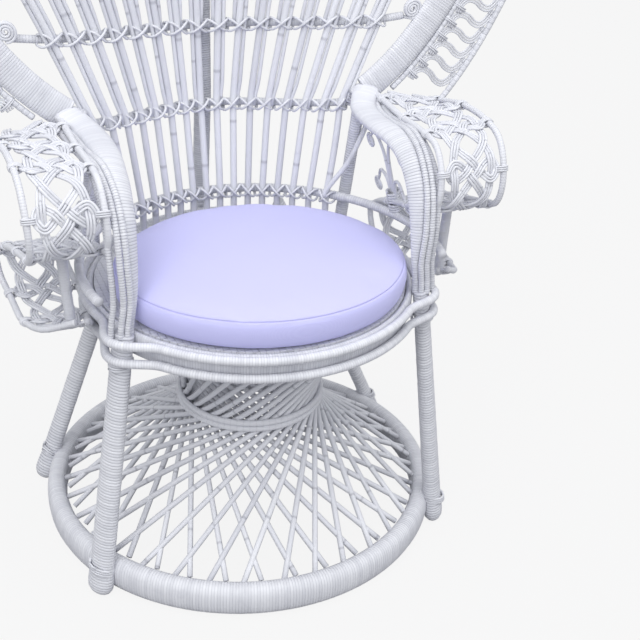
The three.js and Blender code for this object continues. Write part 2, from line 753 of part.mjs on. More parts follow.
// Cushion outline: [share of the half-width, share of the height] from the underside to the
// crown, with a waist at the upper seam.
const CUSHION_PROFILE_SHARES = [
  [0.04, 0],
  [0.955, 0],
  [0.982, 0.1],
  [0.998, 0.28],
  [1, 0.42],
  [0.985, 0.62],
  [0.965, 0.68],
  [0.925, 0.8],
  [0.82, 0.9],
  [0.5, 0.975],
  [0.04, 1],
];

// The cushion's body, drawn in on all sides by one thickness.
function cushionBody(inset) {
  const high = CUSHION_HIGH - 2 * inset;
  const rings = CUSHION_PROFILE_SHARES.map(([wide, rise]) =>
    Array.from({ length: CUSHION_SPANS }, (_, i) => {
      const turn = (TURN * i) / CUSHION_SPANS;
      const x = (CUSHION_HALF_WIDE - inset) * wide * Math.cos(turn);
      const y = (CUSHION_HALF_DEEP - inset) * wide * Math.sin(turn);
      return at(x, y - CUSHION_FORWARD, SEAT_TOP + GAP + inset + high * rise);
    }),
  );
  return loft(rings, false);
}

// A strip round the back of the cushion at half its side's height.
function backStrip(inset, halfThick, halfHigh, slack) {
  const spans = 10;
  const reach = TURN * ZIP_HALF_ANGLE_SHARE - slack / CUSHION_HALF_WIDE;
  const z = SEAT_TOP + GAP + CUSHION_HIGH * ZIP_HIGH_SHARE;
  const path = Array.from({ length: spans + 1 }, (_, i) => {
    const turn = TURN / 4 + mix(-reach, reach, i / spans);
    const x = (CUSHION_HALF_WIDE - inset) * Math.cos(turn);
    const y = (CUSHION_HALF_DEEP - inset) * Math.sin(turn);
    return at(x, y - CUSHION_FORWARD, z);
  });
  return sweep(path, BLOCK_SHARES, halfThick, halfHigh, Z_AXIS);
}

function cushionCover() {
  const slot = backStrip(COVER_THICK / 2, COVER_THICK / 2 + OVERRUN, ZIP_HALF_HIGH, 0);
  return cushionBody(0).subtract(cushionBody(COVER_THICK)).subtract(slot);
}

const cushionFoam = () => cushionBody(COVER_THICK + GAP);

const cushionZip = () =>
  backStrip(COVER_THICK / 2, COVER_THICK / 2 - GAP / 2, ZIP_HALF_HIGH - GAP, GAP * 3);

// One mesh with its own material from a solid.
function piece(name, solid, colour, roughness) {
  const mesh = solid.getMesh();
  const geometry = new THREE.BufferGeometry();
  const places = new Float32Array(mesh.numVert * 3);
  for (let i = 0; i < mesh.numVert; i += 1) {
    const from = i * mesh.numProp;
    places.set(mesh.vertProperties.subarray(from, from + 3), i * 3);
  }
  geometry.setAttribute("position", new THREE.BufferAttribute(places, 3));
  geometry.setIndex(new THREE.BufferAttribute(new Uint32Array(mesh.triVerts), 1));
  geometry.computeVertexNormals();
  const material = new THREE.MeshStandardMaterial({ color: colour, roughness, metalness: 0 });
  const made = new THREE.Mesh(geometry, material);
  made.name = name;
  return made;
}

const CANE_COLOUR = 0xe9e7ee;
const CANE_ROUGHNESS = 0.5;
const CLOTH_COLOUR = 0xc9c6f2;
const CLOTH_ROUGHNESS = 0.85;
const FOAM_COLOUR = 0xf2ecd8;
const ZIP_COLOUR = 0xb9b6e0;

const group = new THREE.Group();
group.name = "peacock_chair";
const cane = (name, solid) => group.add(piece(name, solid, CANE_COLOUR, CANE_ROUGHNESS));

const sides = [
  ["left", -1],
  ["right", 1],
];
const legCuts = sides.flatMap(([, side]) => [frontLeg(side, GAP), rearLeg(side, GAP)]);
const lessLegs = (solid) => legCuts.reduce((left, cut) => left.subtract(cut), solid);

cane("base_hoop", lessLegs(baseHoop()));
cane("hourglass_outer", hourglass(OUTER_FOOT_R, OUTER_WAIST_R, OUTER_TOP_R, 1));
cane("hourglass_inner", hourglass(INNER_FOOT_R, INNER_WAIST_R, INNER_TOP_R, -1));
cane("waist_ring", waistRing());
cane("seat_rod_lower", lessLegs(seatRod(LOWER_ROD_HIGH)));
cane("seat_rod_upper", lessLegs(seatRod(UPPER_ROD_HIGH)));
cane("seat_apron", lessLegs(seatApron()));
cane("seat_deck", seatDeck());
for (const [word, side] of sides) {
  cane("leg_front_" + word, frontLeg(side));
  cane("leg_rear_" + word, rearLeg(side));
  cane("arm_arch_" + word, armArch(side));
  cane("arm_binding_" + word, armBinding(side).subtract(armArch(side, GAP)));
  cane("arm_rear_post_" + word, armRearPost(side));
  cane("arm_weave_" + word, armWeave(side));
  cane("arm_scroll_" + word, armScroll(side));
}
cane("hoop_1", lowHoop());
HOOP_HEIGHTS.forEach((_, index) => cane("hoop_" + (index + 2), fanHoop(index)));
cane("fan_band", fanBand());
cane("fan_rod_inner", fanRod(FAN_INNER_R, INNER_ROD_FOOT_HIGH));
cane("fan_rod_outer", fanRod(FAN_OUTER_R, OUTER_ROD_FOOT_HIGH));
cane("fan_lace_front", fanLace(-1));
cane("fan_lace_back", fanLace(1));
spokePlaces.forEach((place, i) =>
  cane("spoke_" + String(i + 1).padStart(2, "0"), spoke(place)),
);
cane("rear_brace", rearBrace());
group.add(piece("cushion_cover", cushionCover(), CLOTH_COLOUR, CLOTH_ROUGHNESS));
group.add(piece("cushion_foam", cushionFoam(), FOAM_COLOUR, CLOTH_ROUGHNESS));
group.add(piece("cushion_zip", cushionZip(), ZIP_COLOUR, CLOTH_ROUGHNESS));

export default group;
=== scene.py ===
"""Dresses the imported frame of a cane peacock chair: wound poles, crossing canes, knotted
armrests, a laced fan border, scrollwork and one loose round cushion. Lengths inside the shape
functions are millimetres; they become metres when a mesh is made."""

import math
from typing import NamedTuple

import bpy
import numpy as np
from mathutils import Matrix, Vector


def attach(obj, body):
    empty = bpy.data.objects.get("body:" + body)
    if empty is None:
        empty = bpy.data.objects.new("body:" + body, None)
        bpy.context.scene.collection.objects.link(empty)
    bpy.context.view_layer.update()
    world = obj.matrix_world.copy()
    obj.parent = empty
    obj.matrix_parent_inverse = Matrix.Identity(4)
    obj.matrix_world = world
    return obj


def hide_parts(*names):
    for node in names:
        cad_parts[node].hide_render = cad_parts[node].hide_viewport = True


bl_info = {
    "name": "Peacock chair",
    "version": (1, 0, 0),
    "blender": (4, 5, 0),
    "location": "3D View > Sidebar > Peacock chair",
    "description": "Dresses a cane peacock chair with wound poles, woven arms and a cushion",
    "category": "Object",
}

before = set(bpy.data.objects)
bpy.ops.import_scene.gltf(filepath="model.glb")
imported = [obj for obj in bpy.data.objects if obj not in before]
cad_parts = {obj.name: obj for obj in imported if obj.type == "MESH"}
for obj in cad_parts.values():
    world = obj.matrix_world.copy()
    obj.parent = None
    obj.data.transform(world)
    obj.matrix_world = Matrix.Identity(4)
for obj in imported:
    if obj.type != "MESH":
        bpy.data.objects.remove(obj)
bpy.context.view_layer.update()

MM = 0.001
TURN = 2 * math.pi
X_AXIS = np.array([1.0, 0.0, 0.0])
Y_AXIS = np.array([0.0, 1.0, 0.0])
Z_AXIS = np.array([0.0, 0.0, 1.0])
SIDES = (("left", -1), ("right", 1))

# Sizes in millimetres. They are those of the solids, except the base hoop's width, the canes'
# feet, the waist's place, the legs' oval, the feet of the fan's border and the cushion, which
# are this model's own.
HOOP_OUTER_R = 297
HOOP_WIDE = 29
HOOP_HIGH = 48
CANE_COUNT = 34
OUTER_FOOT_R = 269
OUTER_WAIST_R = 97.5
OUTER_TOP_R = 203
INNER_FOOT_R = 266
INNER_WAIST_R = 86
INNER_TOP_R = 181
CANE_SUNK = 6
FOOT_PAST = 0.024
COLLAR_WIDE = 17
COLLAR_THICK = 7
COLLAR_PITCH = 5
WAIST_HIGH = 196
WAIST_ASIDE = 7
WAIST_ROD_R = 4.6
WAIST_ROD_RING_R = 105
WAIST_PITCH = 9

SEAT_FORWARD = 35
SEAT_ROD_RING_R = 233
SEAT_ROD_R = 6
LOWER_ROD_HIGH = 366
UPPER_ROD_HIGH = 391
APRON_THICK = 10
APRON_LOW = 361
SEAT_TOP = 395
DECK_THICK = 12
POST_BULGE = 25.5
POST_BULGE_REACH = 58

FRONT_FOOT = (260, -164)
FRONT_TOP = (208, -150)
FRONT_LEG_TOP_R = 13.5
FRONT_LEG_FOOT_R = 16.5
REAR_FOOT = (289, 126)
REAR_TOP = (120, 188)
REAR_LEG_TOP_R = 12
REAR_LEG_FOOT_R = 13
LEG_TOP_HIGH = 397
# A leg is oval: its long way across, and both ways' shares of its radius.
LEG_LONG_WAY = (0.51, 0.86)
LEG_LONG_SHARE = 1.18
LEG_FLAT_SHARE = 0.82
# A leg's rounded foot: heights, and how much thicker than the leg it is there.
LEG_FOOT_HEIGHTS = (0, 4, 10, 22, 34)
LEG_FOOT_SWELLS = (-4, -0.6, 1.6, 1.4, 0)
# Height, turns and slant of the ties round a leg.
LEG_TIES = ((40, 3, 5.0), (LEG_TOP_HIGH - 42, 3, -2.5))
LEG_TIE_R = 1.7

ARCH_X = 193
ARCH_FRONT_Y = -150
ARCH_DEEP = 245
ARCH_HIGH = 190
ARCH_ROWS = 100
BINDING_ROD_R = 4.2
BINDING_ROWS = 92
# How far above the arch's face each binding rod starts at the seat.
BINDING_LIFTS = (2.5, 2.5, -7.0)
REAR_POST_R = 9.5
REAR_POST_FOOT = (192, 102)
REAR_POST_TOP = (201, 78)
ARM_WEAVE_X = 272.5
ARM_WEAVE_WIDE = 93
ARM_WEAVE_HIGH = 240
ARM_WEAVE_LOW = 368
ARM_WOVEN_SHARE = 0.965
ARM_RIM_R = 4.5
ARM_LOOP_ROWS = 10.8
ARM_LOOP_START_SHARE = 0.5
ARM_STRANDS = 3
# The ties that hold the armrest's loops to its rims: each is three rings side by side.
ARM_TIE_ROWS = 13
ARM_TIE_INNER_SHARE = 0.76
ARM_TIE_R = 1.4
ARM_TIE_SHIFTS = (-2.7, 0, 2.7)
ARM_TILT = 10
STAY_R = 7
STAY_END_SHARES = (0.9583, 0.4583)

SCROLL_CANE_R = 2.8
SCROLL_CURL_R = 2.1
SCROLL_LOW_X = 235
SCROLL_TOP_X = 203
SCROLL_COIL_R = 13
SCROLL_HIGH = 116
SCROLL_DEEP = 110
SCROLL_STEM_Y = -4

FAN_CENTRE_HIGH = 940
FAN_OUTER_R = 490
FAN_INNER_R = 422
FAN_ROD_R = 4.4
BAND_WIDE = 42
BAND_THICK = 14
BAND_FOOT_HIGH = 601
INNER_ROD_FOOT_HIGH = 600
OUTER_ROD_FOOT_HIGH = 575
# Below a height, the border's feet stand further out than its circle.
FOOT_SPREAD = 17
FOOT_SPREAD_HIGH = 730
FOOT_SPREAD_REACH = 150
FAN_DEEP = 168
FAN_LEAN = 28
FAN_HOLLOW = 68
FAN_SIDE_LOW = 200
FAN_SIDE_HIGH = 375
LACE_UNITS = 42
LACE_STRANDS = 3
LACE_STRANDS_APART_SHARE = 2.2
LACE_LIFT_SHARE = 1.6
LACE_ROWS = 34
LACE_TIE_R = 1.3
# Where the thin canes beside a spoke start below the hoops, and how far up they ease in.
THIN_CANES_BELOW = (10, 14)
THIN_CANES_EASE = 40
SPOKES_A_SIDE = 8
SPOKE_R = 5
SPOKE_SUNK = 4
SPOKE_PITCH_LOW = 21
SPOKE_PITCH_TWO = 24.2
SPOKE_PITCH_THREE = 31
SPOKE_PITCH_GROWTH_SHARE = 0.06
HOOP_ROD_R = 6.5
HOOP_ONE_HIGH = 445
HOOP_ONE_R = 233
HOOP_ONE_FORWARD = 89
HOOP_HEIGHTS = (582, 704, 850, 1000)
HOOP_SAGS = (8, 15, 20, 24)
HOOP_HALF_LENGTHS = (195, 283, 338, 346)
# The rod of a hoop stops short of its end. Past the end lie two spirals, one in front of the
# other: their radius, their eye's radius, their turns, half their distance, and how far they
# lie past the end, in front of it and above the hoop.
HOOP_ROD_SHORT = 4
HOOP_COIL_R = 16
HOOP_COIL_EYE_R = 2.2
HOOP_COIL_TURNS = 3.0
HOOP_COIL_HALF_APART = 2.2
HOOP_COIL_PAST = 6
HOOP_COIL_FRONT = 9
HOOP_COIL_UP_SHARE = 0.7
TIE_HALF_SHARE = 0.56
BRACE_R = 12.5
BRACE_FOOT_Y = 215
BRACE_FOOT_HIGH = 340
BRACE_TOP_HIGH = 1420

CUSHION_HALF_WIDE = 205
CUSHION_HALF_DEEP = 184
CUSHION_FORWARD = 77
CUSHION_HIGH = 63
CUSHION_MIDDLE_HIGH = 34
CUSHION_ROWS = 92
CUSHION_SPANS = 200
BAG_INSET = 0.6
BAG_SPANS = 100
BAG_GRAIN = 0.0055
FILLING_FRAMES = 20
ZIP_HIGH_SHARE = 0.42
ZIP_HALF_ANGLE_SHARE = 0.09
ZIP_HALF_HIGH = 3
ZIP_TOOTH_PITCH = 1.7

# The gap that is left between neighbours that only touch.
GAP = 0.3


# Vectors and paths.


def unit(vectors):
    """Each vector divided by its length."""
    return vectors / np.maximum(np.linalg.norm(vectors, axis=-1, keepdims=True), 1e-9)


def mix(a, b, share):
    """The value that lies a share of the way from a to b."""
    return a + (b - a) * share


def smooth_step(low, high, value):
    """0 below low, 1 above high, and an S-curve of 3t squared less 2t cubed between them."""
    t = np.clip((value - low) / (high - low), 0, 1)
    return t * t * (3 - 2 * t)


def runs(path, looped=False):
    """Distance along a path up to each point, and of the closing piece where it is a loop."""
    steps = np.linalg.norm(np.diff(path, axis=0), axis=1)
    if looped:
        steps = np.append(steps, np.linalg.norm(path[0] - path[-1]))
    return np.concatenate([[0.0], np.cumsum(steps)])


def sampled(path, spots, looped=False):
    """Points at given distances along a path, on straight lines between its points."""
    closed = np.vstack([path, path[:1]]) if looped else path
    length = runs(path, looped)
    return np.stack([np.interp(spots, length, column) for column in closed.T], axis=-1)


def curve(points, count):
    """A smooth path through points: each stretch is a cubic whose end slopes weigh the
    neighbouring chords by the square root of their lengths. It is returned as evenly spaced
    points, count of them."""
    p = np.asarray(points, float)
    p = np.vstack([2 * p[0] - p[1], p, 2 * p[-1] - p[-2]])
    knot = np.sqrt(np.linalg.norm(np.diff(p, axis=0), axis=1))[:, None]
    slope = np.diff(p, axis=0) / knot
    wide = (p[2:] - p[:-2]) / (knot[1:] + knot[:-1])
    tangent = slope[:-1] - wide + slope[1:]
    start = tangent[:-1] * knot[1:-1]
    end = tangent[1:] * knot[1:-1]
    t = np.linspace(0, 1, 24, endpoint=False)[None, :, None]
    a, b = p[1:-2, None], p[2:-1, None]
    m0, m1 = start[:, None], end[:, None]
    fine = (
        (2 * t**3 - 3 * t**2 + 1) * a
        + (t**3 - 2 * t**2 + t) * m0
        + (-2 * t**3 + 3 * t**2) * b
        + (t**3 - t**2) * m1
    ).reshape(-1, p.shape[1])
    fine = np.vstack([fine, p[-2]])
    return sampled(fine, np.linspace(0, runs(fine)[-1], count))


def list_at(shares, share):
    """A list of values read at a share of its length, on straight lines between them."""
    return np.interp(np.asarray(share) * (len(shares) - 1), np.arange(len(shares)), shares)


class Skin(NamedTuple):
    """Closed rings of points along a path: rings is a grid of points, loop says whether the
    last ring meets the first, turns counts the windings up to each ring, tone is the piece's
    own shade between 0 and 1, and deep is how deep its grooves are at each ring."""

    rings: np.ndarray
    loop: bool
    turns: np.ndarray
    tone: float
    deep: np.ndarray


def steer(path, beside, loop):
    """Directions across and above a path, square to it; above leans towards beside."""
    if loop:
        ahead = np.roll(path, -1, axis=0) - np.roll(path, 1, axis=0)
    else:
        ahead = np.gradient(path, axis=0)
    ahead = unit(ahead)
    across = unit(np.cross(ahead, np.broadcast_to(beside, path.shape)))
    return across, np.cross(across, ahead)


def skin(path, wide, thick, beside=Z_AXIS, sides=8, power=2.0, loop=False, turns=None,
         tone=0.5, deep=1.0):
    """Carries a rounded outline along a path. A point of the outline at angle v has the
    distances wide times cos v and thick times sin v, both divided by the power-mean of the
    cosine and the sine, so that power 2 gives an ellipse and a higher one a rounded block."""
    v = TURN * (np.arange(sides) + 0.5) / sides
    c, s = np.cos(v), np.sin(v)
    reach = (np.abs(c) ** power + np.abs(s) ** power) ** (-1 / power)
    across, above = steer(path, beside, loop)
    wide = np.broadcast_to(np.asarray(wide, float), (len(path),))[:, None, None]
    thick = np.broadcast_to(np.asarray(thick, float), (len(path),))[:, None, None]
    rings = (
        path[:, None]
        + across[:, None] * wide * (c * reach)[None, :, None]
        + above[:, None] * thick * (s * reach)[None, :, None]
    )
    if turns is None:
        turns = runs(path)[: len(path)] / 140
    deep = np.broadcast_to(np.asarray(deep, float), (len(path),))
    return Skin(rings, loop, np.asarray(turns, float), tone, deep)


def cane(path, radius, beside=Z_AXIS, sides=8, loop=False, tone=0.5, knots=140, start=0.0):
    """A bare round cane whose faint knots lie a given distance apart."""
    turns = start + runs(path)[: len(path)] / knots
    return skin(path, radius, radius, beside, sides=sides, loop=loop, turns=turns, tone=tone)


def wound(path, wide, thick, beside, pitch, sides=14, power=2.0, depth=0.35, loop=False,
          tone=0.5, seed=1, deep=1.0):
    """A pole wound with flat cane. Every winding has three rings: one drawn in by depth times
    deep at its edge, and two at full size. Each winding's size differs a little."""
    length = runs(path, loop)[-1]
    count = max(int(round(length / pitch)), 3)
    step = length / count
    shares = np.array([0.0, 0.3, 0.7])
    turns = (np.arange(count)[:, None] + shares).ravel()
    sunk = np.tile([-depth, 0.0, 0.0], count)
    rng = np.random.default_rng(seed)
    sunk = sunk + np.repeat(rng.normal(0, depth * 0.22, count), 3)
    if not loop:
        turns = np.append(turns, count)
        sunk = np.append(sunk, -depth)
    spots = turns * step
    share = spots / length
    centre = sampled(path, spots, loop)
    old = runs(path, loop) / length

    def spread(value):
        """A number, or one number for each point of the path, at each ring."""
        if not np.ndim(value):
            return np.full(len(share), float(value))
        return np.interp(share, old, np.append(value, value[0]) if loop else value)

    if np.ndim(beside) == 2:
        beside = np.stack([spread(beside[:, k]) for k in range(3)], -1)
    sunk = sunk * spread(deep)
    return skin(centre, spread(wide) + sunk, spread(thick) + sunk, beside, sides=sides,
                power=power, loop=loop, turns=turns, tone=tone, deep=spread(deep))


def mesh_from(name, skins):
    """One object from many skins: four-sided faces between neighbouring rings, and one face
    over each open end. The windings and the tone are kept as attributes of the points."""
    points, corners, sizes, turns, tones, deeps = [], [], [], [], [], []
    base = 0
    for one in skins:
        count, sides = one.rings.shape[:2]
        points.append(one.rings.reshape(-1, 3))
        i = np.arange(count if one.loop else count - 1)[:, None]
        j = np.arange(sides)[None, :]
        near, far = i * sides, ((i + 1) % count) * sides
        quads = np.stack(
            [near + j, far + j, far + (j + 1) % sides, near + (j + 1) % sides], axis=-1
        )
        corners.append(quads.reshape(-1) + base)
        sizes.append(np.full(quads.shape[0] * sides, 4))
        if not one.loop:
            corners.append(base + np.arange(sides))
            corners.append(base + (count - 1) * sides + np.arange(sides)[::-1])
            sizes.append(np.array([sides, sides]))
        turns.append(np.repeat(one.turns, sides))
        tones.append(np.full(count * sides, one.tone))
        deeps.append(np.repeat(one.deep, sides))
        base += count * sides
    co = np.concatenate(points) * MM
    corner = np.concatenate(corners).astype(np.int32)
    size = np.concatenate(sizes).astype(np.int32)
    mesh = bpy.data.meshes.new(name)
    mesh.vertices.add(len(co))
    mesh.vertices.foreach_set("co", co.astype(np.float32).ravel())
    mesh.loops.add(len(corner))
    mesh.loops.foreach_set("vertex_index", corner)
    mesh.polygons.add(len(size))
    starts = np.concatenate([[0], np.cumsum(size)[:-1]]).astype(np.int32)
    mesh.polygons.foreach_set("loop_start", starts)
    mesh.polygons.foreach_set("use_smooth", np.ones(len(size), bool))
    mesh.update(calc_edges=True)
    for word, numbers in (("turns", turns), ("tone", tones), ("deep", deeps)):
        keep_numbers(mesh, word, np.concatenate(numbers))
    return link(name, mesh)


def keep_numbers(mesh, word, numbers):
    """Keeps one number for each point of a mesh, as an attribute."""
    layer = mesh.attributes.new(word, "FLOAT", "POINT")
    layer.data.foreach_set("value", numbers.astype(np.float32))


def link(name, mesh):
    """An object at the origin that shows a mesh."""
    made = bpy.data.objects.new(name, mesh)
    bpy.context.scene.collection.objects.link(made)
    return made


def fit(piece, material, slot, *nodes, body="frame"):
    """Gives a piece its finish, its body and the solids that it stands for."""
    piece.data.materials.clear()
    piece.data.materials.append(material)
    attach(piece, body)
    if nodes:
        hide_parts(*nodes)
    return piece


# Finishes. A node socket behaves like a number in Python.


class Value:
    """A number that changes over the surface. Each sum, product or comparison adds a node."""

    def __init__(self, finish, socket):
        self.finish = finish
        self.socket = socket

    def maths(self, operation, *others):
        """A Math node with this socket first."""
        values = {0: self}
        values.update({i + 1: other for i, other in enumerate(others)})
        return self.finish.value("ShaderNodeMath", {"operation": operation}, values)

    def __add__(self, other):
        return self.maths("ADD", other)

    def __sub__(self, other):
        return self.maths("SUBTRACT", other)

    def __mul__(self, other):
        return self.maths("MULTIPLY", other)

    def __rsub__(self, other):
        return self.finish.value("ShaderNodeMath", {"operation": "SUBTRACT"}, {0: other, 1: self})

    __radd__ = __add__
    __rmul__ = __mul__

    def fract(self):
        """The part after the decimal point."""
        return self.maths("FRACT")

    def floor(self):
        """The whole number below."""
        return self.maths("FLOOR")

    def size(self):
        """The value without its sign."""
        return self.maths("ABSOLUTE")

    def step(self, low, high):
        """0 below low and 1 above high, with a smooth rise between them."""
        return self.finish.value(
            "ShaderNodeMapRange",
            {"interpolation_type": "SMOOTHSTEP"},
            {"Value": self, "From Min": low, "From Max": high},
        )


class Finish:
    """A material built from nodes round one Principled shader."""

    def __init__(self, name, roughness=0.5):
        self.material = bpy.data.materials.new(name)
        self.material.use_nodes = True
        self.tree = self.material.node_tree
        self.shader = next(n for n in self.tree.nodes if n.type == "BSDF_PRINCIPLED")
        self.shader.inputs["Roughness"].default_value = roughness

    def node(self, kind, settings=None, values=None):
        """A node of a kind, with its settings and then the values or links of its sockets."""
        made = self.tree.nodes.new(kind)
        for word, setting in (settings or {}).items():
            setattr(made, word, setting)
        for word, value in (values or {}).items():
            self.feed(made.inputs[word], value)
        return made

    def feed(self, socket, value):
        """Links a node's socket to a socket, or sets its number or colour."""
        if isinstance(value, Value):
            self.tree.links.new(value.socket, socket)
        elif isinstance(value, (tuple, list)) and len(value) == 3 and socket.type == "RGBA":
            socket.default_value = (*value, 1.0)
        else:
            socket.default_value = value

    def value(self, kind, settings=None, values=None, out=0):
        """The output of a new node as a value."""
        return Value(self, self.node(kind, settings, values).outputs[out])

    def attribute(self, name):
        """An attribute of the mesh's points."""
        return self.value("ShaderNodeAttribute", {"attribute_name": name}, out="Fac")

    def place(self):
        """The point's place in the frame, in metres."""
        return self.value("ShaderNodeTexCoord", out="Object")

    def noise(self, scale, detail=3.0, roughness=0.55):
        """Soft noise between 0 and 1."""
        sockets = {"Vector": self.place(), "Scale": scale, "Detail": detail,
                   "Roughness": roughness}
        return self.value("ShaderNodeTexNoise", {}, sockets)

    def blend(self, share, first, second):
        """Two colours mixed by a share."""
        made = self.node("ShaderNodeMix", {"data_type": "RGBA", "clamp_factor": True},
                         {0: share, 6: first, 7: second})
        return Value(self, made.outputs[2])

    def colour(self, value):
        """Sets the surface's colour."""
        self.feed(self.shader.inputs["Base Color"], value)

    def roughness(self, value):
        """Sets the surface's roughness."""
        self.feed(self.shader.inputs["Roughness"], value)

    def relief(self, height, depth):
        """Raises the surface by a height from 0 to 1, times depth in metres."""
        bump = self.value("ShaderNodeBump", {},
                          {"Height": height, "Distance": depth, "Strength": 1.0})
        self.feed(self.shader.inputs["Normal"], bump)


def linear(colour):
    """A display colour from 0 to 1 as a scene-linear one."""
    return tuple(c / 12.92 if c <= 0.04045 else ((c + 0.055) / 1.055) ** 2.4 for c in colour)


def painted(f, tone, groove, wear):
    """White paint on cane: each strip has its own tone between clean and thin paint, the groove
    share darkens it as painted shade in grooves and gaps and as the darker ring of a knot, and a
    blotch of wear shows thin paint again."""
    paint, shade, knot_and_groove_shade = (tuple(getattr(values("paint"), w)) for w in ("paint", "shade", "knot_and_groove_shade"))
    strip = f.blend(tone, paint, shade)
    # Painted shade: grooves between windings and gaps of the deck are darkened here; a knot's
    # darker ring takes the same colour.
    deep = f.blend(groove, strip, knot_and_groove_shade)
    return f.blend(wear, deep, shade)


def edge_of(number, low, high):
    """How near a number is to a whole one: 0 at the middle between two, a smooth rise from low
    to high, and 1 close to a whole number."""
    return ((number.fract() - 0.5).size() * 2.0).step(low, high)


def winding_finish(name, groove, relief, rubbed):
    """Flat cane wound round a pole. The part of each winding's number after the decimal point
    gives the place across the strip, and the surface falls at the strip's two edges."""
    f = Finish(name, 0.5)
    turns = f.attribute("turns")
    edge = edge_of(turns, 0.58, 1.0) * f.attribute("deep")
    strip = f.value("ShaderNodeTexWhiteNoise", {"noise_dimensions": "1D"}, {"W": turns.floor()})
    fibre = f.noise(900.0, 2.0, 0.6)
    blotch = f.noise(42.0, 4.0, 0.62).step(0.55, 0.72)
    patch = f.noise(11.0, 2.0, 0.5).step(0.35, 0.68)
    tone = strip * 0.32 + f.attribute("tone") * 0.25 + patch * 0.15
    # The edges of each winding are darkened as painted shade in the grooves; the blotches are real
    # rubbed paint.
    f.colour(painted(f, tone, edge * (patch * 0.4 + 0.6) * groove, blotch * rubbed))
    f.roughness(fibre * 0.2 + 0.42)
    f.relief((1.0 - edge) + fibre * 0.12 + blotch * 0.15, relief)
    return f.material


def cane_finish(name):
    """A bare painted cane. Faint knots lie where the winding count passes a whole number, and
    fine fibres and drips of paint run over it."""
    f = Finish(name, 0.46)
    knot = edge_of(f.attribute("turns"), 0.955, 1.0)
    fibre = f.noise(700.0, 2.0, 0.6)
    drip = f.noise(60.0, 4.0, 0.65).step(0.55, 0.75)
    tone = f.attribute("tone") * 0.45 + f.noise(15.0, 2.0) * 0.2
    f.colour(painted(f, tone, knot * 0.4, drip * 0.25))
    f.roughness(fibre * 0.22 + 0.36)
    f.relief(knot * 0.8 + fibre * 0.2 + drip * 0.3, 0.0003)
    return f.material


def deck_finish(name):
    """Plain weave of flat canes: strips run along X and along Y, and cover each other where
    the sum of their numbers is even or odd."""
    f = Finish(name, 0.55)
    place = f.node("ShaderNodeSeparateXYZ", {}, {"Vector": f.place()})
    x, y = (Value(f, place.outputs[k]) * 120.0 for k in (0, 1))
    over = ((x.floor() + y.floor()) * 0.5).fract().step(0.2, 0.3)
    gap_x, gap_y = edge_of(x, 0.75, 1.0), edge_of(y, 0.75, 1.0)
    gap = gap_x * over + gap_y * (1.0 - over)
    blotch = f.noise(30.0, 4.0, 0.6)
    # The gaps between strips are darkened as painted shade.
    f.colour(painted(f, blotch * 0.6, gap * 0.35, (gap_x * gap_y) * 0.3))
    f.relief((1.0 - gap) + blotch * 0.2, 0.0008)
    return f.material


def cloth_finish(name):
    """Fine plain cotton: two sets of threads as waves along X and Y, a soft mottle, and a darker
    line in the seams, which is painted shade in their creases."""
    look = values("cushion")
    f = Finish(name, 0.85)
    place = f.place()
    warp, weft = (
        f.value("ShaderNodeTexWave", {"wave_type": "BANDS", "bands_direction": way},
                {"Vector": place, "Scale": 380.0, "Distortion": 0.6, "Detail": 1.0})
        for way in ("X", "Y")
    )
    seam = f.attribute("seam")
    mottle = f.noise(14.0, 4.0, 0.6)
    thread = warp * 0.5 + weft * 0.5
    cloth, dark = tuple(look.cloth), tuple(look.seam_shade_and_thread)
    pale = f.blend(mottle * 0.3, cloth, tuple(c * 0.9 for c in cloth))
    woven_cloth = f.blend(thread * 0.14, pale, dark)
    # Painted shade: the seams' creases are darkened towards the seam colour.
    f.colour(f.blend(seam * seam * 0.4, woven_cloth, dark))
    f.relief(thread * 0.3 + mottle * 0.3 + (1.0 - seam), 0.0005)
    f.shader.inputs["Sheen Weight"].default_value = 0.15
    f.shader.inputs["Sheen Roughness"].default_value = 0.5
    return f.material


def zip_finish(name):
    """A woven tape with moulded teeth."""
    f = Finish(name, 0.5)
    tape = tuple(values("cushion").tape)
    fine = f.noise(1200.0, 2.0, 0.6)
    f.colour(f.blend(f.attribute("tone") * 0.4 + fine * 0.3, tape, tuple(0.7 * c for c in tape)))
    f.roughness(fine * 0.3 + 0.4)
    f.relief(fine, 0.0003)
    return f.material


# Shapes of the frame.


def ring_path(radius, y, z, count, start=0.0, end=TURN, loop=True):
    """A level circle, or an arc of it, whose radius may be a function of the turn."""
    turn = np.linspace(start, end, count, endpoint=not loop)
    r = radius(turn) if callable(radius) else np.full(count, float(radius))
    return np.stack([r * np.cos(turn), y + r * np.sin(turn), np.full(count, float(z))], -1)


def axis_y(z):
    """How far forward the base's axis has moved at a height."""
    return -SEAT_FORWARD * z / UPPER_ROD_HIGH


def seat_rod_radius(turn):
    """A circle that swings out past each front post as half a cosine wave."""
    posts = [math.atan2(FRONT_TOP[1] + SEAT_FORWARD, side * FRONT_TOP[0]) for side in (-1, 1)]
    swing = 0
    for post in posts:
        apart = np.arctan2(np.sin(turn - post), np.cos(turn - post))
        share = np.clip(np.abs(apart * SEAT_ROD_RING_R) / POST_BULGE_REACH, 0, 1)
        swing = np.maximum(swing, (1 + np.cos(math.pi * share)) / 2)
    return SEAT_ROD_RING_R + POST_BULGE * swing


def fan_middle_y(z):
    """The fan's middle line leans back evenly with height."""
    return FAN_DEEP + FAN_LEAN * (z - HOOP_HEIGHTS[0]) / (BRACE_TOP_HIGH - HOOP_HEIGHTS[0])


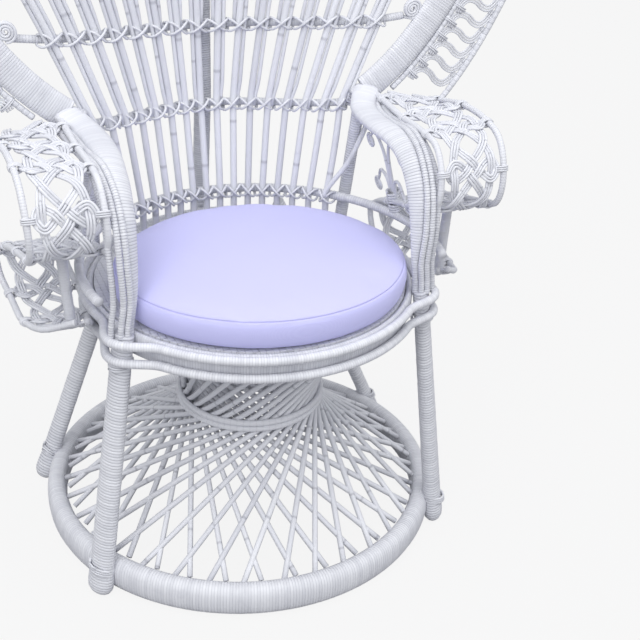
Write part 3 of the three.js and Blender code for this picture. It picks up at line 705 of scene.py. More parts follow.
def fan_y(x, z):
    """The fan's face: its sides come forward of the middle by FAN_HOLLOW times 2u squared
    less u to the fourth, where u is the distance from the middle over the hollow's half-width."""
    rise = (z - HOOP_HEIGHTS[0]) / (FAN_CENTRE_HIGH - HOOP_HEIGHTS[0])
    side = mix(FAN_SIDE_LOW, FAN_SIDE_HIGH, np.clip(rise, 0, 1))
    u = np.minimum(np.abs(x) / side, 1)
    return fan_middle_y(z) - FAN_HOLLOW * (2 * u**2 - u**4)


def hoop_one_y(x):
    """The lowest hoop's circle seen from above."""
    return np.sqrt(np.maximum(HOOP_ONE_R**2 - x**2, 0)) - HOOP_ONE_FORWARD


def spoke_pitch(z):
    """Distance of neighbouring spokes at a height: straight lines between the hoops."""
    low = np.interp(z, [HOOP_ONE_HIGH, HOOP_HEIGHTS[0], HOOP_HEIGHTS[1]],
                    [SPOKE_PITCH_LOW, SPOKE_PITCH_TWO, SPOKE_PITCH_THREE])
    return low + SPOKE_PITCH_GROWTH_SHARE * np.maximum(z - HOOP_HEIGHTS[1], 0)


def spoke_y(x, z):
    """Depth of a spoke: between the lowest hoop's circle and the fan's face."""
    share = np.clip((z - HOOP_ONE_HIGH) / (HOOP_HEIGHTS[0] - HOOP_ONE_HIGH), 0, 1)
    low = mix(hoop_one_y(x), fan_y(x, HOOP_HEIGHTS[0]), share)
    return np.where(z >= HOOP_HEIGHTS[0], fan_y(x, z), low)


def on_fan(radius, turn):
    """Points on the fan's face at a distance and a turn from its centre. Near the feet they
    stand further out, by FOOT_SPREAD times the square of how far they are below its height."""
    x = radius * np.cos(turn)
    z = FAN_CENTRE_HIGH + radius * np.sin(turn)
    low = np.clip((FOOT_SPREAD_HIGH - z) / FOOT_SPREAD_REACH, 0, 1.2)
    x = x + np.sign(x) * FOOT_SPREAD * low ** 2
    return np.stack([x, fan_y(x, z), z], -1)


def drop_turn(radius, z):
    """The turn at which a ring of the fan comes down to a height."""
    return math.asin((z - FAN_CENTRE_HIGH) / radius)


def fan_normal(x, z):
    """The direction square to the fan's face, towards the sitter."""
    step = 2.0
    slope_x = (fan_y(x + step, z) - fan_y(x - step, z)) / (2 * step)
    slope_z = (fan_y(x, z + step) - fan_y(x, z - step)) / (2 * step)
    return unit(np.stack([slope_x, -np.ones_like(slope_x), slope_z], -1))


# How far the hoops lie behind the spokes, the edge of the band inside the inner rod, and the
# spokes' places in pitches. The hoops' and the border's solid rods have six flat sides.
HOOP_BACK = SPOKE_R + 2 * GAP + HOOP_ROD_R * math.cos(math.pi / 6)
BAND_OUTER_R = FAN_INNER_R - FAN_ROD_R * math.cos(math.pi / 6) - GAP
SPOKE_PLACES = np.arange(2 * SPOKES_A_SIDE) + 0.5 - SPOKES_A_SIDE


def spoke_top(place, shift=0.0):
    """Height at which a spoke, or a cane beside it, ends a little inside the edge of the
    band, by halving."""
    reach = BAND_OUTER_R - BAND_WIDE + SPOKE_SUNK
    low, high = FAN_CENTRE_HIGH, FAN_CENTRE_HIGH + reach
    for _ in range(30):
        middle = (low + high) / 2
        x = place * spoke_pitch(middle) + shift
        if math.hypot(x, middle - FAN_CENTRE_HIGH) < reach:
            low = middle
        else:
            high = middle
    return low


ARCH_PATH_SHARES = (
    (1.035, -0.003, -0.02), (1.03, -0.004, 0.06), (1.007, -0.008, 0.25), (1.003, 0, 0.5),
    (1, 0.06, 0.78), (1, 0.17, 0.93), (1, 0.33, 1), (1, 0.6, 1), (1.03, 0.84, 1.01),
    (1.14, 1.01, 1.08),
)
ARCH_WIDTHS = (4.7, 4.7, 8.8, 11.6, 12.8, 14.5, 17.5, 19, 19, 19)
ARCH_DEPTHS = (4.7, 4.7, 4.9, 5.2, 5.8, 6.8, 8, 9, 9, 9)
ARCH_TURNS = (40, 40, 40, 42, 36, 24, 8, 0, 0, 0)
SCROLL_PATH_SHARES = (
    (1.015, 1.01, 0.925), (1.01, 0.75, 0.955), (1, 0.3, 0.985), (0.995, 0.1, 0.95),
    (0.99, 0.005, 0.83), (0.985, -0.015, 0.68), (0.985, 0.03, 0.59), (0.99, 0.2, 0.53),
    (1.005, 0.55, 0.42), (1.03, 0.86, 0.29), (1.04, 0.98, 0.19), (1.035, 0.93, 0.09),
    (1.01, 0.75, 0.02), (1, 0.5, 0), (0.98, 0.28, 0.05), (0.935, 0.11, 0.16),
)
SCROLL_WIDTH_SHARES = (1, 1, 1, 1, 1, 1, 1, 1, 1, 1, 1, 1, 1, 0.95, 0.7, 0.15)
SCROLL_TILT_SHARES = (-1, -0.2, 0.6, 0.6, 0.3, 0, 0, 0, 0, 0, 0, 0, 0, 0, 0, 0)


def arch_path(side, count):
    """An arm's arch from the front post over to the fan: its middle line, half its width and
    depth, and its outward and upper directions at each point. At the front the flat winding
    is turned to face the sitter."""
    shares = np.array(ARCH_PATH_SHARES, float)
    points = np.stack(
        [side * ARCH_X * shares[:, 0], ARCH_FRONT_Y + ARCH_DEEP * shares[:, 1],
         LEG_TOP_HIGH + GAP + ARCH_HIGH * shares[:, 2]], -1
    )
    path, share = curve(points, count), np.linspace(0, 1, count)
    wide, deep = list_at(ARCH_WIDTHS, share), list_at(ARCH_DEPTHS, share)
    turn = np.radians(list_at(ARCH_TURNS, share))[:, None]
    upper, out = across_x(path), side * X_AXIS
    return (path, wide, deep, np.cos(turn) * out + np.sin(turn) * upper,
            np.cos(turn) * upper - np.sin(turn) * out)


# Knot weave.

# One turn of a band, in pitches along and in shares of the half width across: it comes from the
# far side, runs round a loop at the near rim and goes back to the far side.
LOOP_SHARES = (
    (-1, -0.6), (-0.54, -0.48), (-0.12, 0.06), (0.05, 0.32), (0.15, 0.58), (0, 0.76),
    (-0.17, 0.6), (-0.1, 0.32), (0.12, 0.04), (0.54, -0.48),
)


def looping_band(start, length, pitch, half, side):
    """A flat band's middle line: loops at one rim, two pitches apart, and between them it bows
    towards the other rim, where it passes through a loop of another band."""
    turns = np.arange(-2, int(length / pitch / 2) + 3)
    shape = np.array(LOOP_SHARES, float) * (pitch, side * half)
    points = np.vstack([shape + (start + 2 * k * pitch, 0) for k in turns])
    line = curve(points, 16 * len(points))
    keep = (line[:, 0] >= 0) & (line[:, 0] <= length)
    first, last = np.argmax(keep), len(keep) - np.argmax(keep[::-1])
    return line[first:last]


def meetings(a, b, same):
    """Where two flat lines cross: positions along each, counted in pieces."""
    a0, b0 = a[:-1, None], b[None, :-1]
    r, s = np.diff(a, axis=0)[:, None], np.diff(b, axis=0)[None, :]
    cross = r[..., 0] * s[..., 1] - r[..., 1] * s[..., 0]
    cross = np.where(np.abs(cross) < 1e-9, 1e-9, cross)
    d = b0 - a0
    t = (d[..., 0] * s[..., 1] - d[..., 1] * s[..., 0]) / cross
    u = (d[..., 0] * r[..., 1] - d[..., 1] * r[..., 0]) / cross
    hit = (t >= 0) & (t < 1) & (u >= 0) & (u < 1)
    if same:
        i, j = np.indices(hit.shape)
        hit &= j > i + 2
    i, j = np.nonzero(hit)
    return i + t[i, j], j + u[i, j]


def over_and_under(bands):
    """Heights from -1 to 1 along each band, so that it passes over and under in turn. Each
    band's meetings take opposite signs in their order, and its first sign is chosen so that it
    is under where a band that is already settled is over."""
    found = [[] for _ in bands]
    pairs = []
    for i in range(len(bands)):
        for j in range(i, len(bands)):
            for p, q in zip(*meetings(bands[i], bands[j], i == j)):
                found[i].append(p)
                found[j].append(q)
                if i != j:
                    pairs.append((i, p, j, q))
    orders = [np.sort(np.array(f)) for f in found]
    first = {0: 1}
    for _ in bands:
        for i, p, j, q in pairs:
            rank_i = int(np.searchsorted(orders[i], p)) % 2
            rank_j = int(np.searchsorted(orders[j], q)) % 2
            flip = -1 if rank_i == rank_j else 1
            if i in first and j not in first:
                first[j] = first[i] * flip
            elif j in first and i not in first:
                first[i] = first[j] * flip
    heights = []
    for k, band in enumerate(bands):
        signs = first.get(k, 1) * np.where(np.arange(len(orders[k])) % 2, -1, 1)
        raw = np.zeros(len(band))
        if len(signs):
            raw = np.interp(np.arange(len(band)), orders[k], signs)
        heights.append(np.sin(raw * math.pi / 2))
    return heights


def strands_of(band, height, count, apart):
    """Parallel strands of a flat band: the middle line moved sideways by equal steps."""
    ahead = unit(np.gradient(band, axis=0))
    beside = np.stack([-ahead[:, 1], ahead[:, 0]], -1)
    offsets = (np.arange(count) - (count - 1) / 2) * apart
    return [(band + beside * o, height) for o in offsets]


# Ties and spirals.


def loop_round(centre, one, two, size_one, size_two, radius, tone=0.4):
    """A closed ring of thin cane round a pole: centre plus one times size_one cos a plus two
    times size_two sin a."""
    a = np.linspace(0, TURN, 14, endpoint=False)[:, None]
    path = centre + one * size_one * np.cos(a) + two * size_two * np.sin(a)
    return cane(path, radius, np.cross(one, two), sides=5, loop=True, tone=tone, knots=60.0)


def collar(centre, axis, size, count, radius, tilt=0.0, tone=0.4):
    """Thin cane wound a few times round a pole as one helix. tilt leans the turns: they rise
    along the axis by tilt times the cosine of the angle."""
    one = unit(np.cross(axis, Y_AXIS if abs(axis[1]) < 0.8 else X_AXIS))
    two = np.cross(axis, one)
    a = np.linspace(0, TURN * count, 14 * count + 1)[:, None]
    rise = (a / TURN - count / 2) * 2.05 * radius + tilt * np.cos(a)
    path = centre + size * (np.cos(a) * one + np.sin(a) * two) + axis * rise
    return cane(path, radius, np.broadcast_to(axis, path.shape), sides=5, tone=tone, knots=60.0)


def cross_tie(centre, along, up, front, half, rise, reach, back, radius, rng):
    """Two thin canes tied in a cross over a spoke and round the hoop behind it. At angle a
    each lies along by half times sin a, up by rise times the sine of 1.6 a with either sign, and
    in front by reach times cos a, or by back times cos a where that is negative."""
    a = np.linspace(-1.9, 1.9, 17)[:, None]
    fall = np.where(np.cos(a) > 0, reach, back) * np.cos(a)
    made = []
    for hand in (-1, 1):
        lift = hand * rise * np.sin(1.6 * a) * rng.uniform(0.88, 1.08)
        over = hand * radius * 0.8 * np.clip(np.cos(a), 0, 1) ** 2
        path = centre + along * half * np.sin(a) + up * lift + front * (fall + over)
        made.append(cane(path, radius, np.broadcast_to(front, path.shape), sides=5,
                         tone=rng.uniform(0.1, 0.7), knots=60.0))
    return made


def spiral(centre, right, up, out_r, in_r, turns, start, way):
    """A flat spiral from its rim inwards: the radius falls evenly as the turn grows."""
    share = np.linspace(0, 1, int(18 * turns) + 1)[:, None]
    angle = start + way * TURN * turns * share
    return centre + mix(out_r, in_r, share) * (np.cos(angle) * right + np.sin(angle) * up)


# The base and the seat.


def base_hoop(pitch):
    """A thick level ring whose outline is a rounded block, wound all round."""
    path = ring_path(HOOP_OUTER_R - HOOP_WIDE / 2, 0, HOOP_HIGH / 2, 240)
    return [wound(path, HOOP_WIDE / 2, HOOP_HIGH / 2, Z_AXIS, pitch, sides=18, power=2.6,
                  depth=0.2, loop=True, tone=0.2, seed=3)]


def crossing_canes(foot_r, waist_r, top_r, hand, radius, seed):
    """Straight canes that touch a narrow circle at the waist: each end lies round the base's
    axis by the angle whose cosine is the waist's radius over the end's, and the feet a little
    past that. The waist stands aside of the axis. The canes bend only there, and a flat collar
    holds their tops."""
    rng = np.random.default_rng(seed)
    skins = []
    rows = ((foot_r, HOOP_HIGH - CANE_SUNK, -1), (waist_r, WAIST_HIGH, 0),
            (top_r, SEAT_TOP - DECK_THICK, 1))
    for turn in TURN * (np.arange(CANE_COUNT) + 0.5) / CANE_COUNT:
        ends = []
        for r, z, side in rows:
            past = FOOT_PAST if side < 0 else 0
            t = turn + side * hand * (math.acos(waist_r / r) + past) + rng.normal(0, 0.006)
            aside = WAIST_ASIDE if side == 0 else 0
            ends.append(np.array([aside + r * math.cos(t), axis_y(z) + r * math.sin(t), z]))
        foot, waist, top = ends
        path = curve([foot, mix(foot, waist, 0.45), mix(foot, waist, 0.93),
                      mix(waist, top, 0.07), mix(waist, top, 0.5), mix(waist, top, 0.985)], 20)
        skins.append(cane(path, radius * rng.uniform(0.93, 1.05), X_AXIS, sides=9,
                          tone=rng.uniform(0, 1), start=rng.uniform(0, 1)))
    high = SEAT_TOP - DECK_THICK - GAP - COLLAR_THICK / 2
    path = ring_path(top_r, axis_y(high), high, 120)
    skins.append(wound(path, COLLAR_WIDE / 2, COLLAR_THICK / 2, Z_AXIS, COLLAR_PITCH, sides=10,
                       power=3.0, depth=0.3, loop=True, tone=0.6, seed=4))
    return skins


def waist_ring():
    """Two stacked rods round the waist."""
    skins = []
    for s in (-1, 1):
        path = ring_path(WAIST_ROD_RING_R, axis_y(WAIST_HIGH), WAIST_HIGH + s * WAIST_ROD_R, 90)
        path[:, 0] += WAIST_ASIDE
        skins.append(wound(path, WAIST_ROD_R, WAIST_ROD_R, Z_AXIS, WAIST_PITCH, sides=9,
                           depth=0.08, loop=True, tone=0.4, seed=5 + s))
    return skins


def seat_rod(z, pitch, seed):
    """A wound rod round the seat that swings out past each front post."""
    path = ring_path(seat_rod_radius, -SEAT_FORWARD, z, 360)
    return [wound(path, SEAT_ROD_R, SEAT_ROD_R, Z_AXIS, pitch, sides=10, depth=0.12, loop=True,
                  tone=0.2, seed=seed)]


def seat_apron(pitch):
    """A flat upright strip round the seat, wound with upright windings."""
    high = SEAT_TOP - APRON_LOW
    radius = SEAT_ROD_RING_R - SEAT_ROD_R - APRON_THICK / 2
    path = ring_path(radius, -SEAT_FORWARD, APRON_LOW + high / 2, 240)
    return [wound(path, APRON_THICK / 2 - GAP, high / 2, Z_AXIS, pitch, sides=12, power=4.0,
                  depth=0.15, loop=True, tone=0.75, seed=8)]


# Legs.


def leg(foot, top, foot_r, top_r, pitch, seed):
    """A tapered pole, oval across, wound from a rounded foot up, with a slanting tie where it
    leaves the base hoop and another under the seat."""
    count = 90
    z = np.linspace(0, LEG_TOP_HIGH, count)
    share = z[:, None] / LEG_TOP_HIGH
    path = np.hstack([mix(np.array(foot), np.array(top), share), z[:, None]])
    radius = np.interp(z, [*LEG_FOOT_HEIGHTS, LEG_TOP_HIGH],
                       [*(foot_r + more for more in LEG_FOOT_SWELLS), top_r])
    long = np.array([math.copysign(LEG_LONG_WAY[0], foot[0]), LEG_LONG_WAY[1], 0.0])
    skins = [wound(path, radius * LEG_FLAT_SHARE, radius * LEG_LONG_SHARE, long, pitch,
                   depth=0.6, tone=0.25, seed=seed)]
    axis = unit(path[-1] - path[0])
    for high, turns, tilt in LEG_TIES:
        spot = path[0] + axis * high / axis[2]
        size = float(np.interp(high, z, radius)) + 1.2
        skins.append(collar(spot, axis, size, turns, LEG_TIE_R, tilt=tilt, tone=0.3))
    return skins


# Arms.


def across_x(path):
    """The direction in a path's own upright plane that is square to it."""
    return np.cross(X_AXIS, unit(np.gradient(path, axis=0)))


def arm_arch(side, pitch):
    """A thin wound rod at the seat that widens into a flat winding and bends over into a
    panel, whose paint nearly fills the grooves."""
    path, wide, deep, _, upper = arch_path(side, ARCH_ROWS)
    flat = smooth_step(12, 18, wide)
    return [wound(path, wide, deep, upper, pitch, sides=20, power=2.5, depth=0.32, tone=0.35,
                  seed=11, deep=mix(0.85, 0.1, flat))]


def arm_binding(side, pitch):
    """Thin wound rods laid side by side along the outer edge of the arch. Where the arch is
    thin, the last one lies a little behind the others."""
    path, wide, _, out, upper = arch_path(side, ARCH_ROWS)
    thin = smooth_step(18, 12, wide)[:, None]
    skins = []
    for k, lift in enumerate(BINDING_LIFTS):
        aside = side * X_AXIS * (2 * BINDING_ROD_R + 0.2) * min(k, 1.55)
        shift = out * (wide + BINDING_ROD_R)[:, None] + aside
        middle = path + shift + upper * (lift * thin)
        skins.append(wound(middle[:BINDING_ROWS], BINDING_ROD_R, BINDING_ROD_R,
                           upper[:BINDING_ROWS], pitch, sides=9, depth=0.36,
                           tone=0.2 + 0.2 * k, seed=20 + k))
    return skins


def arm_rear_post(side, pitch):
    """The short pole between the seat's rear and the panel."""
    low = UPPER_ROD_HIGH + SEAT_ROD_R
    foot = np.array([side * REAR_POST_FOOT[0], REAR_POST_FOOT[1], low])
    top = np.array([side * REAR_POST_TOP[0], REAR_POST_TOP[1], LEG_TOP_HIGH + ARCH_HIGH - 4])
    path = mix(foot, top, np.linspace(0, 1, 30)[:, None])
    return [wound(path, REAR_POST_R, REAR_POST_R, X_AXIS, pitch, sides=12, depth=0.4, seed=30)]


class Ribbon:
    """The face of a woven armrest: a scroll seen from the side, carried straight across."""

    def __init__(self, side):
        shares = np.array(SCROLL_PATH_SHARES, float)
        points = np.stack(
            [side * ARM_WEAVE_X * shares[:, 0], ARCH_FRONT_Y + ARCH_DEEP * shares[:, 1],
             ARM_WEAVE_LOW + ARM_WEAVE_HIGH * shares[:, 2]], -1
        )
        self.side = side
        self.middle = curve(points, 400)
        self.length = runs(self.middle)[-1]

    def spot(self, share, across):
        """Points at a share of the length and a share of the half-width."""
        share = np.clip(np.asarray(share, float), 0.004, 1)
        made = sampled(self.middle, share * self.length)
        half = ARM_WEAVE_WIDE / 2 * list_at(SCROLL_WIDTH_SHARES, share)
        made[..., 0] += self.side * half * across
        made[..., 2] += ARM_TILT * across * list_at(SCROLL_TILT_SHARES, share)
        return made

    def outward(self, share, across):
        """The direction square to the face, away from the scroll's hollow."""
        share, across = np.broadcast_arrays(np.asarray(share, float), np.asarray(across, float))
        ahead = self.spot(share + 0.003, across) - self.spot(share - 0.003, across)
        beside = self.spot(share, across + 0.1) - self.spot(share, across - 0.1)
        return self.side * unit(np.cross(beside, ahead))


def woven(bands, heights, strands, radius, place, seed):
    """Strands of flat knotted bands, laid side by side on a curved face and lifted a little
    more than their radius where bands cross. place turns flat points (along, across) into
    points of space and the face's outward directions."""
    rng = np.random.default_rng(seed)
    skins = []
    for band, height in zip(bands, heights):
        for line, high in strands_of(band, height, strands, 2 * radius):
            spots, outward = place(line[:, 0], line[:, 1])
            path = spots + outward * (high * (radius * 1.1))[:, None]
            if len(path) > 3:
                skins.append(cane(path, radius * rng.uniform(0.94, 1.04), outward, sides=6,
                                  tone=rng.uniform(0, 0.8), knots=90.0))
    return skins


def arm_weave(side, strand_r, pitch):
    """A wound rim each side, four looping bands of three strands between them, short ties
    where the loops meet the rims, and a wound stay up the middle of the scroll."""
    face = Ribbon(side)
    half = ARM_WEAVE_WIDE / 2
    share = np.linspace(0, 1, 160)
    skins = []
    for edge in (-1, 1):
        path = face.spot(share, edge)
        skins.append(wound(path, ARM_RIM_R, ARM_RIM_R, X_AXIS, pitch, sides=9, depth=0.45,
                           tone=0.3, seed=40 + edge))
    row = face.length / ARM_LOOP_ROWS
    length = face.length * ARM_WOVEN_SHARE
    bands = [looping_band((k + ARM_LOOP_START_SHARE) * row, length, row, half, near)
             for k in range(2) for near in (-1, 1)]
    heights = over_and_under(bands)

    def place(along, across):
        """Flat points on the armrest's face, and the directions out of it."""
        at = along / face.length
        return face.spot(at, across / half), face.outward(at, across / half)

    skins += woven(bands, heights, ARM_STRANDS, strand_r, place, seed=41)
    for k in range(ARM_TIE_ROWS):
        for edge in (-1, 1):
            at = (k + ARM_LOOP_START_SHARE) * row / face.length
            if 0.01 < at < 0.96:
                inner = edge * (ARM_TIE_INNER_SHARE + ARM_STRANDS * strand_r / half)
                spot, near = face.spot(at, edge), face.spot(at, inner)
                ahead = unit(face.spot(at + 0.004, edge) - face.spot(at - 0.004, edge))
                reach, out = np.linalg.norm(near - spot) / 2, unit(near - spot)
                skins += [
                    loop_round((spot + near) / 2 + ahead * shift, out, np.cross(ahead, out),
                               reach + ARM_RIM_R + 1, ARM_RIM_R + 1, ARM_TIE_R)
                    for shift in ARM_TIE_SHIFTS
                ]
    foot, top = (face.spot(share, 0) for share in STAY_END_SHARES)
    path = mix(foot, top, np.linspace(0, 1, 40)[:, None])
    skins.append(wound(path, STAY_R, STAY_R, X_AXIS, pitch, sides=10, depth=0.4, tone=0.6,
                       seed=43))
    return skins


SCROLL_COILS = ((0.47, 0.78), (-0.5, 0.86), (0.5, 0.17), (-0.42, 0.2))
SCROLL_STEMS = (
    ((0.025, 0), (0.025, 0.45), (0.08, 0.80), (0.25, 0.96)),
    ((-0.025, 0), (-0.03, 0.45), (-0.09, 0.80), (-0.26, 1.02)),
    ((0.075, 0.0), (0.078, 0.2), (0.14, 0.4), (0.3, 0.44)),
    ((-0.075, 0.0), (-0.078, 0.2), (-0.13, 0.42), (-0.26, 0.46)),
)


def arm_scroll(side):
    """Four stems bound at the foot that part and curl into flat spirals."""
    low = HOOP_ONE_HIGH + HOOP_ROD_R + GAP

    def spot(y, z):
        """A point of the scrollwork from shares of its depth and height."""
        x = side * mix(SCROLL_LOW_X, SCROLL_TOP_X, z)
        return np.array([x, SCROLL_STEM_Y + SCROLL_DEEP * y, low + SCROLL_HIGH * z])

    lean = unit(spot(0, 1) - spot(0, 0))
    skins = []
    for k, (coil, stem) in enumerate(zip(SCROLL_COILS, SCROLL_STEMS)):
        way = -1 if coil[0] > 0 else 1
        curl = spiral(spot(*coil), Y_AXIS, lean, SCROLL_COIL_R - SCROLL_CURL_R, 2.0, turns=2.4,
                      start=math.pi / 2 + way * -0.35, way=way)
        path = curve(np.vstack([[spot(*s) for s in stem], curl[::2]]), 150)
        share = np.linspace(0, 1, 150)
        radius = mix(SCROLL_CANE_R, SCROLL_CURL_R, smooth_step(0.1, 0.5, share))
        skins.append(cane(path, radius, X_AXIS, tone=0.2 + 0.15 * k, knots=80.0))
    skins.append(collar(spot(0, 0.2), lean, 3.4 * SCROLL_CANE_R, 4, 2.0, tone=0.3))
    skins.append(collar(spot(0, 0.06), lean, 3.6 * SCROLL_CANE_R, 3, 2.0, tone=0.5))
    return skins


# The fan.


def fan_arc(radius, foot_high, count):
    """A ring of the fan from one foot round the top to the other."""
    start = drop_turn(radius, foot_high)
    return on_fan(radius, np.linspace(start, math.pi - start, count))


def fan_band(pitch):
    """A flat wound band inside the border."""
    path = fan_arc(BAND_OUTER_R - BAND_WIDE / 2, BAND_FOOT_HIGH, 240)
    return [wound(path, BAND_WIDE / 2, BAND_THICK / 2, fan_normal(path[:, 0], path[:, 2]),
                  pitch, sides=16, power=3.2, depth=0.32, tone=0.3, seed=50)]


def fan_rod(radius, foot_high, pitch, seed):
    """A round rod of the border, loosely ringed."""
    path = fan_arc(radius, foot_high, 240)
    return [wound(path, FAN_ROD_R, FAN_ROD_R, fan_normal(path[:, 0], path[:, 2]), pitch,
                  sides=9, depth=0.3, tone=0.35, seed=seed)]


# A band of the border's lace, in pitches along and in shares of the border's width across.
LACE_SHARES = (
    (-0.35, 0.14), (0, 0.11), (0.35, 0.13), (0.66, 0.22), (0.78, 0.42), (0.68, 0.62),
    (0.75, 0.76), (1.0, 0.84), (1.39, 0.89), (1.83, 0.93),
)


def fan_lace(strand_r, layer):
    """Curved bands of three strands, one after the other up each side: each runs along the
    inner rod, swings over and ends along the outer rod. A short tie holds it to the inner rod.
    Every second band belongs to one layer."""
    wide, rng = FAN_OUTER_R - FAN_INNER_R, np.random.default_rng(60 + layer)
    start = drop_turn(FAN_OUTER_R, OUTER_ROD_FOOT_HIGH)
    step = (math.pi / 2 - start) / LACE_UNITS
    flat = curve(np.array(LACE_SHARES, float) * (step * FAN_INNER_R, wide), LACE_ROWS)
    height = np.linspace(LACE_LIFT_SHARE, -LACE_LIFT_SHARE, LACE_ROWS)
    apart = LACE_STRANDS_APART_SHARE * strand_r
    skins = []

    def place(along, across, side):
        """Flat points on the fan's border, and the directions out of it."""
        turn = start + along / FAN_INNER_R
        spots = on_fan(FAN_INNER_R + across, np.where(side > 0, turn, math.pi - turn))
        return spots, fan_normal(spots[:, 0], spots[:, 2])

    for k in range(layer, LACE_UNITS, 2):
        foot = k * step * FAN_INNER_R
        for side in (-1, 1):
            for line, high in strands_of(flat + (foot, 0), height, LACE_STRANDS, apart):
                spots, outward = place(line[:, 0], line[:, 1], side)
                skins.append(cane(spots + outward * (high * strand_r)[:, None], strand_r,
                                  outward, sides=5, tone=rng.uniform(0, 0.8), knots=90.0))
            ends, outward = place(foot * np.ones(2), np.array([0, 0.2 * wide]), side)
            across = unit(ends[1] - ends[0])
            skins += [
                loop_round(ends.mean(0) + np.cross(outward[0], across) * shift, across, outward[0],
                           0.11 * wide + FAN_ROD_R, FAN_ROD_R + 1.2, LACE_TIE_R)
                for shift in (-LACE_TIE_R, LACE_TIE_R)
            ]
    return skins


def spoke(place, thin_r):
    """One round cane of the fan, bent a little at each hoop, and from the second hoop up a
    thinner one beside it, with another on the inner side over the third hoop."""
    top = spoke_top(place)
    rng = np.random.default_rng(100 + int(place * 2))
    low = SEAT_TOP + GAP
    z = np.linspace(low, top, 60)

    def line(heights, shift):
        """The spoke's line at given heights, moved aside by shift."""
        x = place * spoke_pitch(heights) + shift
        return np.stack([x, spoke_y(x, heights), heights], -1)

    out = math.copysign(1, place)
    skins = [cane(line(z, 0), SPOKE_R * rng.uniform(0.96, 1.0), Y_AXIS, sides=10,
                  tone=rng.uniform(0, 0.8), start=rng.uniform(0, 1), knots=190.0)]
    for high, below, side in zip(HOOP_HEIGHTS, THIN_CANES_BELOW, (out, -out)):
        start = high - below
        beside = side * (SPOKE_R + thin_r)
        heights = np.linspace(start, spoke_top(place, beside), 44)
        ease = smooth_step(start, start + THIN_CANES_EASE, heights)
        shift = beside * mix(0.75, 1.02, ease)
        path = line(heights, shift)
        path[:, 1] += (1 - ease) * 2.5
        skins.append(cane(path, thin_r * rng.uniform(0.92, 1.02), Y_AXIS, sides=7,
                          tone=rng.uniform(0.2, 1), start=rng.uniform(0, 1), knots=160.0))
    return skins


def hoop_path(index, count):
    """A hoop's middle line behind the fan's face: it sags by its sag times one less the square
    of the share of the half-length."""
    half, high, sag = HOOP_HALF_LENGTHS[index], HOOP_HEIGHTS[index], HOOP_SAGS[index]
    x = np.linspace(-half, half, count)
    z = np.full(count, float(high))
    path = np.stack([x, fan_y(x, z), z], -1) - fan_normal(x, z) * HOOP_BACK
    path[:, 2] = z - sag * (1 - (x / half) ** 2)
    return path


def ties_along(path, places, tie_r, half, rng):
    """A cross tie where each spoke passes a hoop."""
    skins = []
    for place in places:
        k = int(np.argmin(np.abs(path[:, 0] - place)))
        along = unit(path[min(k + 1, len(path) - 1)] - path[max(k - 1, 0)])
        front = fan_normal(path[k, :1], path[k, 2:3])[0]
        up = unit(np.cross(along, front))
        up = up if up[2] > 0 else -up
        reach = HOOP_ROD_R + 2 * SPOKE_R + 1.6 * tie_r
        skins += cross_tie(path[k], along, up, front, half, HOOP_ROD_R + 2, reach,
                           HOOP_ROD_R + tie_r, tie_r, rng)
    return skins


def fan_hoop(index, pitch, tie_r, curl_r):
    """A wound hoop with two flat spirals at each end and a cross tie at every spoke. The
    second hoop of the chair, the first one here, also has a curled cane at each end."""
    path = hoop_path(index, 400)
    half, high = HOOP_HALF_LENGTHS[index], HOOP_HEIGHTS[index]
    rng = np.random.default_rng(70 + index)
    rod = path[np.abs(path[:, 0]) <= half - HOOP_ROD_SHORT]
    skins = [wound(rod, HOOP_ROD_R - 0.8, HOOP_ROD_R - 0.8, Z_AXIS, pitch, sides=10, depth=0.25,
                   seed=71 + index)]
    for side, end in ((-1, path[0]), (1, path[-1])):
        along = unit(end - path[20 if side < 0 else -21])
        centre = np.array([side * (half + HOOP_COIL_PAST), end[1] - HOOP_COIL_FRONT,
                           high + HOOP_COIL_R * HOOP_COIL_UP_SHARE])
        for behind in (-HOOP_COIL_HALF_APART, HOOP_COIL_HALF_APART):
            curl = spiral(centre + np.array([0, behind, 0]), along, Z_AXIS, HOOP_COIL_R - curl_r,
                          HOOP_COIL_EYE_R, turns=HOOP_COIL_TURNS, start=-math.pi / 2, way=side)
            tail = rod[0 if side < 0 else -1] + np.array([0, behind - 4, -1.0])
            curl = np.vstack([mix(tail, curl[0], np.linspace(0, 0.8, 5)[:, None]), curl])
            skins.append(cane(curl, mix(curl_r, curl_r * 0.85, np.linspace(0, 1, len(curl))),
                              Y_AXIS, sides=7, tone=0.3, knots=90.0))
    places = [x for x in SPOKE_PLACES * spoke_pitch(high) if abs(x) < half - 8]
    if index == 0:
        skins += [curled_cane(side, SPOKE_R - 1.2) for side in (-1, 1)]
    skins += ties_along(rod, places, tie_r, spoke_pitch(high) * TIE_HALF_SHARE, rng)
    return skins


CURLED_CANE_SHARES = (
    (0.99, 1.16), (1.074, 1.093), (1.117, 0.97), (1.099, 0.844), (1.019, 0.641), (0.934, 0.414),
    (0.849, 0.217), (0.797, 0.087), (0.782, 0.02),
)


def curled_cane(side, radius):
    """A cane that leaves the second hoop's end in a wide curl and runs down in front of the
    outer spokes to the lowest hoop. Its places are shares of the second hoop's half-length
    and of the height between the two hoops."""
    shares = np.array(CURLED_CANE_SHARES, float)
    x = side * HOOP_HALF_LENGTHS[0] * shares[:, 0]
    z = mix(HOOP_ONE_HIGH, HOOP_HEIGHTS[0], shares[:, 1])
    path = curve(np.stack([x, spoke_y(x, z) - SPOKE_R - radius - 0.6, z], -1), 60)
    return cane(path, radius, Y_AXIS, sides=9, tone=0.3, knots=120.0)


